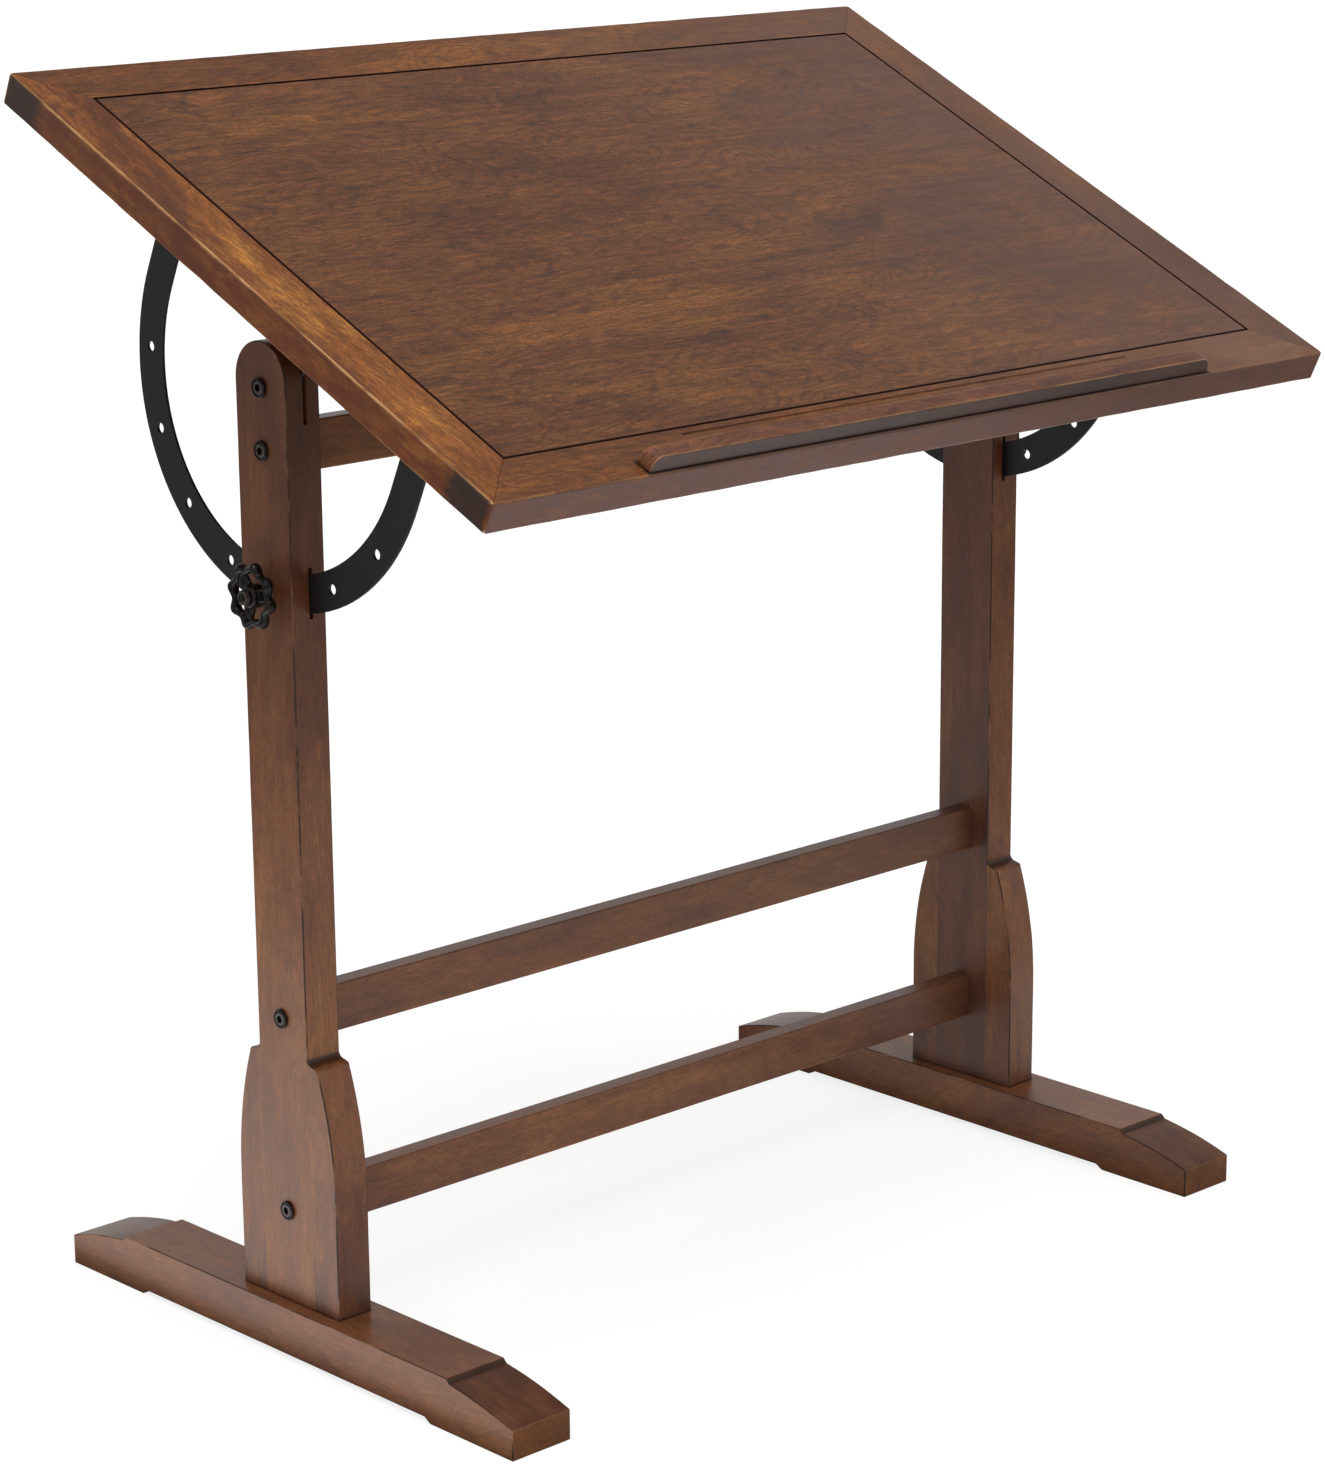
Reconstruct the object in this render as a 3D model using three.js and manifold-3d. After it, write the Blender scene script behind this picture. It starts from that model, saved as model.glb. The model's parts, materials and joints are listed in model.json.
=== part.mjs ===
// Drafting table: a tilting wooden top on a trestle stand, locked by two handwheels.
// Millimetres. X runs across the table, -Y is the sitter's side, +Z is up.
// The origin is on the floor, in the middle of the table's footprint.

import * as THREE from 'three';
import { mergeVertices } from 'three/addons/utils/BufferGeometryUtils.js';
import Module from 'manifold-3d';

const wasm = await Module();
wasm.setup();

// ---- driving dimensions ----

const SEAM = 0.3; // gap left at every glued, screwed or bolted face
const HOLE_GAP = 0.3; // radial gap between a fastener and its hole

const TOP_WIDTH = 914.4; // 36 in
const TOP_DEPTH = 609.6; // 24 in
const TOP_THICKNESS = 25.4; // 1 in
const BORDER_WIDTH = 46.5;
const INLAY = { width: 2.0, depth: 1.5 };
const LEDGE = { length: 617, depth: 15, height: 12.5, setback: 2.8, endRun: 10 };
const PENCIL_GROOVE = { length: 492, width: 3, depth: 2, fromEdge: 38.8 };

const REST_TILT = THREE.MathUtils.degToRad(24.9);
const PIVOT_HEIGHT = 772;
const SURFACE_ABOVE_PIVOT = 102.6;
const TOP_FORWARD = 2.5; // the top's middle is this far in front of the pivot

const POST = { centreX: 389.5, thickness: 32, width: 60, headCentre: 777 };
const KERF = { inset: 2, width: 3.5, headBottom: 745.3, slotBottom: 597.5, slotTop: 637 };
const WING = { reach: 60, straightTop: 140, curveRadius: 312, curveTop: 243, shoulder: 251 };
// The wing's small ledge, as [distance from the post's centre, height]: rounded tip, flat, cove.
const WING_LEDGE = { tip: [41.8, 245.6], outer: [39.5, 246.2], inner: [33.5, 247.4], cove: [31, 248] };
const FOOT = { length: 557, width: 58, height: 44, stepHalf: 203, step: 3.5, endHeight: 25, toeHollow: 4 };
const FOOT_RELIEF = { half: 176, height: 4, run: 7 };
const RAIL = { thickness: 18, height: 38.5 };
const RAIL_HEIGHTS = { top: 724.5, middle: 278.5, lower: 120 };

const PLATE = 2.5; // thickness of the steel arcs and brackets
const ARC = { radius: 158, width: 30, holeRadius: 4.2, holeStep: 23.1, holes: 7, tabReach: 32 };
const BRACKET = { endRadius: 22, straightTop: 45, flangeWidth: 70, flangeReach: 42, screwInset: 12 };
const CLAMP_HEIGHT = 615.5;
const WHEEL = { rimRadius: 21.3, lobes: 8, lobeHeight: 1.6, rimWidth: 7, rimThickness: 7.4, fromPost: 14.5 };
const HUB = { radius: 9, behindRim: 7.5, beyondRim: 5 };
const SPOKE = { count: 3, width: 12, thickness: 4.8, firstAt: THREE.MathUtils.degToRad(10) };
const WHEEL_NUT = { radius: 6.4, length: 4.6 };

const BOLT = { shankRadius: 3, headRadius: 7.7, headHeight: 2.4, intoRail: 26 };
const SOCKET = { radius: 2.9, depth: 1.8 };
const PIVOT_RADIUS = 4;
const STUD_RADIUS = 4;
const INSERT = { wall: 2.2, railLength: 14, pivotLength: 11.4, clampLength: 7.2 };
const SHOE = { radius: 6, thickness: 2 };
const SCREW = { shankRadius: 2, headRadius: 4.2, headHeight: 2.2, length: 15 };
const SCREW_POINT = 3; // length of a wood screw's tapered point
const TIP_ROOM = 3; // a blind hole goes this much deeper than its screw or bolt
const FOOT_SCREW = { shankRadius: 3, headRadius: 6.5, headHeight: 3.5 };
const FOOT_SCREW_PLACE = { fromCentre: 45, recess: 12, intoWing: 45 };

const HALF_POST = POST.thickness / 2;
const HALF_WIDTH = POST.width / 2;
const UNDERSIDE_ABOVE_PIVOT = SURFACE_ABOVE_PIVOT - TOP_THICKNESS;
const ROUND = 16; // facets around a fastener
const FINE = 10; // facets around a small hole or screw
const GENTLE = 8; // facets along a gentle curve
const SWEEPING = 32; // facets along the arcs' half circle

// ---- materials ----

function paint(color, roughness, metalness) {
  return new THREE.MeshStandardMaterial({ color, roughness, metalness });
}

const finishes = {
  wood: () => paint(0x6b3f22, 0.45, 0),
  borderWood: () => paint(0x7d4a24, 0.42, 0),
  panelVeneer: () => paint(0x6a4427, 0.4, 0),
  blackSteel: () => paint(0x1b1b1f, 0.5, 0.6),
  castIron: () => paint(0x1e1814, 0.45, 0.7),
  zincSteel: () => paint(0x8d8a82, 0.35, 0.9),
};

// ---- solids ----

function toSolid(geometry) {
  const bare = geometry.clone();
  bare.deleteAttribute('normal');
  bare.deleteAttribute('uv');
  const merged = mergeVertices(bare, 1e-4);
  const corners = merged.index.array;
  const triVerts = [];
  for (let i = 0; i < corners.length; i += 3) {
    const [a, b, c] = corners.slice(i, i + 3);
    if (a !== b && b !== c && c !== a) triVerts.push(a, b, c);
  }
  const vertProperties = new Float32Array(merged.attributes.position.array);
  return new wasm.Manifold(new wasm.Mesh({ numProp: 3, vertProperties, triVerts: new Uint32Array(triVerts) }));
}

function toGeometry(solid) {
  const mesh = solid.getMesh();
  const geometry = new THREE.BufferGeometry();
  geometry.setAttribute('position', new THREE.BufferAttribute(mesh.vertProperties, 3));
  geometry.setIndex(new THREE.BufferAttribute(mesh.triVerts, 1));
  geometry.computeVertexNormals();
  return geometry;
}

function cut(blank, tools) {
  return toGeometry(tools.reduce((solid, tool) => solid.subtract(toSolid(tool)), toSolid(blank)));
}

function join(pieces) {
  return toGeometry(pieces.map(toSolid).reduce((whole, piece) => whole.add(piece)));
}

function box(size, centre) {
  return new THREE.BoxGeometry(...size).translate(...centre);
}

// A cylinder along X from fromX to toX.
function rodX(radius, fromX, toX, y, z, facets = ROUND) {
  return new THREE.CylinderGeometry(radius, radius, Math.abs(toX - fromX), facets)
    .rotateZ(Math.PI / 2)
    .translate((fromX + toX) / 2, y, z);
}

// A cylinder along Z from fromZ to toZ.
function rodZ(radius, fromZ, toZ, x, y, facets = ROUND) {
  return new THREE.CylinderGeometry(radius, radius, Math.abs(toZ - fromZ), facets)
    .rotateX(Math.PI / 2)
    .translate(x, y, (fromZ + toZ) / 2);
}

// Turns a side view drawn in (y, z) into a board of the given thickness, centred on x = 0.
function board(sideView, thickness, curveSegments) {
  const settings = { depth: thickness, bevelEnabled: false, curveSegments };
  const geometry = new THREE.ExtrudeGeometry(sideView, settings);
  const x = new THREE.Vector3(1, 0, 0);
  const y = new THREE.Vector3(0, 1, 0);
  const z = new THREE.Vector3(0, 0, 1);
  return geometry.translate(0, 0, -thickness / 2).applyMatrix4(new THREE.Matrix4().makeBasis(y, z, x));
}

// A turned piece whose profile gives [radius, distance along +X].
function turnedX(profile, facets = ROUND) {
  const points = profile.map(([radius, along]) => new THREE.Vector2(radius, along));
  return new THREE.LatheGeometry(points, facets).rotateZ(-Math.PI / 2);
}

// A turned piece whose profile gives [radius, height].
function turnedZ(profile, facets = ROUND) {
  const points = profile.map(([radius, height]) => new THREE.Vector2(radius, height));
  return new THREE.LatheGeometry(points, facets).rotateX(Math.PI / 2);
}

function addPart(group, name, geometry, material, position = [0, 0, 0]) {
  const mesh = new THREE.Mesh(geometry, material);
  mesh.name = name;
  mesh.position.set(...position);
  group.add(mesh);
  return mesh;
}

// ---- stand: boards. Each is drawn with +X pointing out of the table. ----

const kerfX = -KERF.inset;
const innerFaceX = -HALF_POST;
const railInsertRadius = BOLT.shankRadius + HOLE_GAP + INSERT.wall;
const pivotInsertRadius = PIVOT_RADIUS + HOLE_GAP + INSERT.wall;
const clampInsertRadius = STUD_RADIUS + HOLE_GAP + INSERT.wall;
const clampInsertX = HALF_POST - SEAM - INSERT.clampLength;

function postGeometry() {
  const bottom = FOOT.height + SEAM;
  const outline = new THREE.Shape();
  outline.moveTo(-HALF_WIDTH, bottom);
  outline.lineTo(HALF_WIDTH, bottom);
  outline.lineTo(HALF_WIDTH, POST.headCentre);
  outline.absarc(0, POST.headCentre, HALF_WIDTH, 0, Math.PI, false);
  outline.closePath();
  const headTop = POST.headCentre + HALF_WIDTH + 1;
  const through = POST.width + 2;
  const slotMiddle = (KERF.slotBottom + KERF.slotTop) / 2;
  const headMiddle = (KERF.headBottom + headTop) / 2;
  const tools = [
    box([KERF.width, through, headTop - KERF.headBottom], [kerfX, 0, headMiddle]),
    box([KERF.width, through, KERF.slotTop - KERF.slotBottom], [kerfX, 0, slotMiddle]),
    rodX(PIVOT_RADIUS + HOLE_GAP, innerFaceX - 1, HALF_POST + 1, 0, PIVOT_HEIGHT),
    rodX(pivotInsertRadius + HOLE_GAP, innerFaceX - 1, innerFaceX + INSERT.pivotLength + SEAM, 0, PIVOT_HEIGHT),
    rodX(SHOE.radius + HOLE_GAP, kerfX, HALF_POST + 1, 0, CLAMP_HEIGHT),
    rodX(clampInsertRadius + HOLE_GAP, clampInsertX - SEAM, HALF_POST + 1, 0, CLAMP_HEIGHT),
  ];
  for (const height of Object.values(RAIL_HEIGHTS)) {
    tools.push(rodX(BOLT.shankRadius + HOLE_GAP, innerFaceX - 1, HALF_POST + 1, 0, height));
  }
  return cut(board(outline, POST.thickness, 2 * FINE), tools);
}

// A wing standing at the +Y side of its post.
function wingGeometry() {
  const glueLine = HALF_WIDTH + SEAM;
  const bottom = FOOT.height + SEAM;
  const sweep = Math.asin((WING.curveTop - WING.straightTop) / WING.curveRadius);
  const outline = new THREE.Shape();
  outline.moveTo(glueLine, bottom);
  outline.lineTo(WING.reach, bottom);
  outline.lineTo(WING.reach, WING.straightTop);
  outline.absarc(WING.reach - WING.curveRadius, WING.straightTop, WING.curveRadius, 0, sweep, false);
  outline.quadraticCurveTo(...WING_LEDGE.tip, ...WING_LEDGE.outer);
  outline.lineTo(...WING_LEDGE.inner);
  outline.quadraticCurveTo(...WING_LEDGE.cove, glueLine, WING.shoulder);
  outline.closePath();
  const boreTop = FOOT.height + FOOT_SCREW_PLACE.intoWing + TIP_ROOM;
  const boreRadius = FOOT_SCREW.shankRadius + HOLE_GAP;
  const bore = rodZ(boreRadius, bottom - 1, boreTop, 0, FOOT_SCREW_PLACE.fromCentre, FINE);
  return cut(board(outline, POST.thickness, GENTLE), [bore]);
}

function footGeometry() {
  const half = FOOT.length / 2;
  const toeStart = FOOT.stepHalf + FOOT.step;
  const toeTop = FOOT.height - FOOT.step;
  const padStart = FOOT_RELIEF.half + FOOT_RELIEF.run;
  const outline = new THREE.Shape();
  outline.moveTo(-half, 0);
  outline.lineTo(-padStart, 0);
  outline.lineTo(-FOOT_RELIEF.half, FOOT_RELIEF.height);
  outline.lineTo(FOOT_RELIEF.half, FOOT_RELIEF.height);
  outline.lineTo(padStart, 0);
  outline.lineTo(half, 0);
  outline.lineTo(half, FOOT.endHeight);
  outline.quadraticCurveTo((half + toeStart) / 2, toeTop - FOOT.toeHollow, toeStart, toeTop);
  outline.lineTo(FOOT.stepHalf, FOOT.height);
  outline.lineTo(-FOOT.stepHalf, FOOT.height);
  outline.lineTo(-toeStart, toeTop);
  outline.quadraticCurveTo(-(half + toeStart) / 2, toeTop - FOOT.toeHollow, -half, FOOT.endHeight);
  outline.closePath();
  const tools = [];
  for (const y of [-FOOT_SCREW_PLACE.fromCentre, FOOT_SCREW_PLACE.fromCentre]) {
    tools.push(rodZ(FOOT_SCREW.shankRadius + HOLE_GAP, -1, FOOT.height + 1, 0, y, FINE));
    tools.push(rodZ(FOOT_SCREW.headRadius + HOLE_GAP, -1, FOOT_SCREW_PLACE.recess, 0, y));
  }
  return cut(board(outline, FOOT.width, GENTLE), tools);
}

function railGeometry() {
  const half = POST.centreX - HALF_POST - SEAM;
  const tools = [];
  for (const side of [-1, 1]) {
    const pocket = side * (half - INSERT.railLength - 1);
    const bottom = side * (half - BOLT.intoRail - TIP_ROOM);
    tools.push(rodX(railInsertRadius + HOLE_GAP, side * (half + 1), pocket, 0, 0));
    tools.push(rodX(BOLT.shankRadius + HOLE_GAP, side * half, bottom, 0, 0));
  }
  return cut(new THREE.BoxGeometry(2 * half, RAIL.thickness, RAIL.height), tools);
}

// ---- stand: fasteners ----

// A flat socket-head bolt whose head rests on x = 0 and whose shank runs towards -X.
function boltGeometry(shankRadius, shankLength) {
  const { headRadius, headHeight } = BOLT;
  const chamfer = 0.8;
  const blank = turnedX([
    [0, -shankLength],
    [shankRadius - chamfer, -shankLength],
    [shankRadius, -shankLength + chamfer],
    [shankRadius, 0],
    [headRadius, 0],
    [headRadius, headHeight - chamfer],
    [headRadius - chamfer, headHeight],
    [0, headHeight],
  ]);
  return cut(blank, [rodX(SOCKET.radius, headHeight - SOCKET.depth, headHeight + 1, 0, 0, 6)]);
}

// A threaded insert with a bore, from x = 0 to x = length.
function insertGeometry(boreRadius, length) {
  const outer = boreRadius + INSERT.wall;
  return turnedX([[boreRadius, 0], [outer, 0], [outer, length], [boreRadius, length], [boreRadius, 0]]);
}

// A round-head screw whose head sits under z = 0 and whose shank runs up.
function screwGeometry({ shankRadius, headRadius, headHeight, length }) {
  const blank = turnedZ([
    [0, -headHeight],
    [headRadius * 0.7, -headHeight],
    [headRadius, -headHeight * 0.4],
    [headRadius, 0],
    [shankRadius, 0],
    [shankRadius, length - SCREW_POINT],
    [0, length],
  ], FINE);
  const slotWidth = 1;
  const slot = box([headRadius * 1.2, slotWidth, slotWidth], [0, 0, -headHeight]);
  return cut(blank, [slot, slot.clone().rotateZ(Math.PI / 2)]);
}

// ---- handwheel lock: parts of one wheel, drawn on the X axis with +X out of the post ----

const wheelX = HALF_POST + WHEEL.fromPost;
const hubStart = wheelX - HUB.behindRim;
const hubEnd = wheelX + HUB.beyondRim;

// A ring of lobes, with the first spoke between two of them.
function lobedOutline(Path, radius) {
  const points = [];
  const steps = WHEEL.lobes * 5;
  for (let i = 0; i < steps; i += 1) {
    const angle = (i / steps) * 2 * Math.PI;
    const reach = radius - WHEEL.lobeHeight * Math.cos(WHEEL.lobes * (angle - SPOKE.firstAt));
    points.push(new THREE.Vector2(reach * Math.cos(angle), reach * Math.sin(angle)));
  }
  return new Path(points);
}

function wheelGeometry() {
  const bevel = 1.2;
  const rimOutline = lobedOutline(THREE.Shape, WHEEL.rimRadius + WHEEL.rimWidth / 2 - bevel);
  rimOutline.holes.push(lobedOutline(THREE.Path, WHEEL.rimRadius - WHEEL.rimWidth / 2 + bevel));
  const rim = new THREE.ExtrudeGeometry(rimOutline, {
    depth: WHEEL.rimThickness - 2 * bevel,
    bevelThickness: bevel,
    bevelSize: bevel,
    bevelSegments: 1,
  });
  rim.translate(0, 0, -WHEEL.rimThickness / 2 + bevel).rotateY(Math.PI / 2).translate(wheelX, 0, 0);
  const pieces = [rim, rodX(HUB.radius, hubStart, hubEnd, 0, 0)];
  for (let i = 0; i < SPOKE.count; i += 1) {
    const spoke = box([SPOKE.thickness, WHEEL.rimRadius, SPOKE.width], [wheelX, WHEEL.rimRadius / 2, 0]);
    pieces.push(spoke.rotateX(SPOKE.firstAt + (i / SPOKE.count) * 2 * Math.PI));
  }
  const body = join(pieces);
  return cut(body, [rodX(STUD_RADIUS + HOLE_GAP, hubStart - 1, hubEnd + 1, 0, 0)]);
}

function wheelNutGeometry() {
  const { radius, length } = WHEEL_NUT;
  return cut(rodX(radius, 0, length, 0, 0, 6), [rodX(STUD_RADIUS + HOLE_GAP, -1, length + 1, 0, 0)]);
}

const shoeX = kerfX + PLATE / 2 + SEAM;
const studX = shoeX + SHOE.thickness + SEAM;

function shoeGeometry() {
  const chamfer = 0.5;
  return turnedX([
    [0, 0],
    [SHOE.radius - chamfer, 0],
    [SHOE.radius, chamfer],
    [SHOE.radius, SHOE.thickness],
    [0, SHOE.thickness],
  ]);
}

function studGeometry() {
  const beyondNut = 1.5;
  const length = hubEnd + SEAM + WHEEL_NUT.length + beyondNut - studX;
  return turnedX([
    [0, 0],
    [STUD_RADIUS - 1, 0],
    [STUD_RADIUS, 1],
    [STUD_RADIUS, length - 1],
    [STUD_RADIUS - 1, length],
    [0, length],
  ]);
}

// ---- table top: drawn about the pivot, X across, Y up the slope, Z square to the surface ----

const panelHalfWidth = TOP_WIDTH / 2 - BORDER_WIDTH;
const panelHalfDepth = TOP_DEPTH / 2 - BORDER_WIDTH;
const topCentre = [0, -TOP_FORWARD, UNDERSIDE_ABOVE_PIVOT + TOP_THICKNESS / 2];
const plateX = POST.centreX - KERF.inset;
const tabX = plateX - PLATE / 2 - ARC.tabReach / 2;
const flangeX = plateX - PLATE / 2 - BRACKET.flangeReach / 2;
const plateTop = UNDERSIDE_ABOVE_PIVOT - SEAM;
const bracketScrewY = BRACKET.flangeWidth / 2 - BRACKET.screwInset;

// Where each underside screw goes, as [x, y] about the pivot.
function undersideScrews(side) {
  return {
    front_arc_screw: [side * tabX, -ARC.radius],
    back_arc_screw: [side * tabX, ARC.radius],
    front_bracket_screw: [side * flangeX, -bracketScrewY],
    back_bracket_screw: [side * flangeX, bracketScrewY],
  };
}

// The veneered panel, with a shallow step around its upper edge that shows as the inlay line.
function panelGeometry() {
  const width = 2 * (panelHalfWidth - SEAM);
  const depth = 2 * (panelHalfDepth - SEAM);
  const lower = box([width, depth, TOP_THICKNESS - INLAY.depth], [0, 0, -INLAY.depth / 2]);
  const face = box([width - 2 * INLAY.width, depth - 2 * INLAY.width, TOP_THICKNESS], [0, 0, 0]);
  const underside = -TOP_THICKNESS / 2;
  const screwHole = rodZ(SCREW.shankRadius + HOLE_GAP, underside - 1, underside + SCREW.length, 0, 0, FINE);
  const tools = [];
  for (const side of [-1, 1]) {
    for (const [x, y] of Object.values(undersideScrews(side))) {
      tools.push(screwHole.clone().translate(x, y + TOP_FORWARD, 0));
    }
  }
  return cut(join([lower, face]), tools);
}

// A mitred board along X whose outer edge is y = 0 and whose inner edge is y = BORDER_WIDTH.
function borderGeometry(length) {
  const half = length / 2;
  const inner = half - BORDER_WIDTH;
  const mitreGap = SEAM / 2;
  const plan = new THREE.Shape();
  plan.moveTo(-half + mitreGap, 0);
  plan.lineTo(half - mitreGap, 0);
  plan.lineTo(inner - mitreGap, BORDER_WIDTH);
  plan.lineTo(-inner + mitreGap, BORDER_WIDTH);
  plan.closePath();
  const blank = new THREE.ExtrudeGeometry(plan, { depth: TOP_THICKNESS, bevelEnabled: false });
  return blank.translate(0, 0, -TOP_THICKNESS / 2);
}

function pencilGroove() {
  const { length, width, depth, fromEdge } = PENCIL_GROOVE;
  const half = length / 2 - width / 2;
  const plan = new THREE.Shape();
  plan.absarc(half, fromEdge, width / 2, -Math.PI / 2, Math.PI / 2, false);
  plan.absarc(-half, fromEdge, width / 2, Math.PI / 2, (3 * Math.PI) / 2, false);
  plan.closePath();
  const tool = new THREE.ExtrudeGeometry(plan, { depth: depth + 1, bevelEnabled: false, curveSegments: 5 });
  return tool.translate(0, 0, TOP_THICKNESS / 2 - depth);
}

// The ledge strip: its ends rise from the top in a quarter-round.
function ledgeGeometry() {
  const half = LEDGE.length / 2;
  const frontView = new THREE.Shape();
  frontView.moveTo(-half, 0);
  frontView.lineTo(half, 0);
  frontView.quadraticCurveTo(half, LEDGE.height, half - LEDGE.endRun, LEDGE.height);
  frontView.lineTo(-half + LEDGE.endRun, LEDGE.height);
  frontView.quadraticCurveTo(-half, LEDGE.height, -half, 0);
  frontView.closePath();
  const settings = { depth: LEDGE.depth, bevelEnabled: false, curveSegments: GENTLE };
  const blank = new THREE.ExtrudeGeometry(frontView, settings);
  return blank.rotateX(Math.PI / 2).translate(0, LEDGE.depth, 0);
}

// A cutter for a screw hole through a tab or flange.
function plateHole() {
  return rodZ(SCREW.shankRadius + HOLE_GAP, plateTop + 1, plateTop - PLATE - 1, 0, 0, FINE);
}

// The U-shaped strap hangs from the underside, concentric with the pivot, with a tab bent in at each end.
function arcGeometry(side) {
  const outer = ARC.radius + ARC.width / 2;
  const inner = ARC.radius - ARC.width / 2;
  const strap = new THREE.Shape();
  strap.moveTo(-outer, plateTop);
  strap.lineTo(-outer, 0);
  strap.absarc(0, 0, outer, Math.PI, 2 * Math.PI, false);
  strap.lineTo(outer, plateTop);
  strap.lineTo(inner, plateTop);
  strap.lineTo(inner, 0);
  strap.absarc(0, 0, inner, 0, -Math.PI, true);
  strap.lineTo(-inner, plateTop);
  strap.closePath();
  const pieces = [board(strap, PLATE, SWEEPING)];
  const tools = [];
  for (const end of [-1, 1]) {
    const reach = ARC.tabReach + PLATE;
    const centre = [(-side * (reach - PLATE)) / 2, end * ARC.radius, plateTop - PLATE / 2];
    pieces.push(box([reach, ARC.width, PLATE], centre));
    tools.push(plateHole().translate(side * (tabX - plateX), end * ARC.radius, 0));
  }
  for (let i = 0; i < ARC.holes; i += 1) {
    const fromMiddle = THREE.MathUtils.degToRad((i - (ARC.holes - 1) / 2) * ARC.holeStep);
    const y = ARC.radius * Math.sin(fromMiddle);
    const z = -ARC.radius * Math.cos(fromMiddle);
    tools.push(rodX(ARC.holeRadius, -PLATE, PLATE, y, z));
  }
  return cut(join(pieces), tools);
}

// The plate that hangs into the post's kerf and carries the pivot hole, with a flange bent in.
function bracketGeometry(side) {
  const { endRadius, straightTop, flangeWidth, flangeReach } = BRACKET;
  const plate = new THREE.Shape();
  plate.absarc(0, 0, endRadius, Math.PI, 2 * Math.PI, false);
  plate.lineTo(endRadius, straightTop);
  plate.lineTo(flangeWidth / 2, plateTop - PLATE);
  plate.lineTo(flangeWidth / 2, plateTop);
  plate.lineTo(-flangeWidth / 2, plateTop);
  plate.lineTo(-flangeWidth / 2, plateTop - PLATE);
  plate.lineTo(-endRadius, straightTop);
  plate.closePath();
  const reach = flangeReach + PLATE;
  const flange = box([reach, flangeWidth, PLATE], [(-side * (reach - PLATE)) / 2, 0, plateTop - PLATE / 2]);
  const tools = [rodX(PIVOT_RADIUS + HOLE_GAP, -PLATE, PLATE, 0, 0)];
  for (const y of [-bracketScrewY, bracketScrewY]) {
    tools.push(plateHole().translate(side * (flangeX - plateX), y, 0));
  }
  return cut(join([board(plate, PLATE, GENTLE), flange]), tools);
}

// ---- assembly ----

// Everything on one post. The group's +X points out of the table, so the left group is turned half way round.
function buildPostSide(name, side) {
  const group = new THREE.Group();
  group.position.x = side * POST.centreX;
  group.rotation.z = side < 0 ? Math.PI : 0;
  addPart(group, `${name}_post`, postGeometry(), finishes.wood());
  addPart(group, `${name}_foot`, footGeometry(), finishes.wood());
  const { fromCentre, recess, intoWing } = FOOT_SCREW_PLACE;
  for (const [end, toBack] of [['front', -1], ['back', 1]]) {
    const wing = addPart(group, `${name}_${end}_wing`, wingGeometry(), finishes.wood());
    wing.rotation.z = toBack * side < 0 ? Math.PI : 0;
    const screw = screwGeometry({ ...FOOT_SCREW, length: FOOT.height + intoWing - recess });
    const screwPlace = [0, toBack * side * fromCentre, recess - SEAM];
    addPart(group, `${name}_${end}_foot_screw`, screw, finishes.zincSteel(), screwPlace);
  }
  const boltX = HALF_POST + SEAM;
  const railBoltLength = boltX + HALF_POST + BOLT.intoRail;
  for (const [rail, height] of Object.entries(RAIL_HEIGHTS)) {
    const bolt = boltGeometry(BOLT.shankRadius, railBoltLength);
    addPart(group, `${name}_${rail}_rail_bolt`, bolt, finishes.blackSteel(), [boltX, 0, height]);
    const insert = insertGeometry(BOLT.shankRadius + HOLE_GAP, INSERT.railLength);
    const insertX = innerFaceX - 2 * SEAM - INSERT.railLength;
    addPart(group, `${name}_${rail}_rail_insert`, insert, finishes.zincSteel(), [insertX, 0, height]);
  }
  const shortOfInnerFace = 2;
  const pivotBolt = boltGeometry(PIVOT_RADIUS, boltX + HALF_POST - shortOfInnerFace);
  addPart(group, `${name}_pivot_bolt`, pivotBolt, finishes.blackSteel(), [boltX, 0, PIVOT_HEIGHT]);
  const pivotInsert = insertGeometry(PIVOT_RADIUS + HOLE_GAP, INSERT.pivotLength);
  addPart(group, `${name}_pivot_insert`, pivotInsert, finishes.zincSteel(), [innerFaceX, 0, PIVOT_HEIGHT]);
  const clampInsert = insertGeometry(STUD_RADIUS + HOLE_GAP, INSERT.clampLength);
  addPart(group, `${name}_clamp_insert`, clampInsert, finishes.zincSteel(), [clampInsertX, 0, CLAMP_HEIGHT]);
  addPart(group, `${name}_clamp_shoe`, shoeGeometry(), finishes.zincSteel(), [shoeX, 0, CLAMP_HEIGHT]);
  addPart(group, `${name}_clamp_screw`, studGeometry(), finishes.zincSteel(), [studX, 0, CLAMP_HEIGHT]);
  addPart(group, `${name}_handwheel`, wheelGeometry(), finishes.castIron(), [0, 0, CLAMP_HEIGHT]);
  const nutX = hubEnd + SEAM;
  addPart(group, `${name}_wheel_nut`, wheelNutGeometry(), finishes.castIron(), [nutX, 0, CLAMP_HEIGHT]);
  return group;
}

function buildRails() {
  const group = new THREE.Group();
  for (const [rail, height] of Object.entries(RAIL_HEIGHTS)) {
    addPart(group, `${rail}_rail`, railGeometry(), finishes.wood(), [0, 0, height]);
  }
  return group;
}

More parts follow.
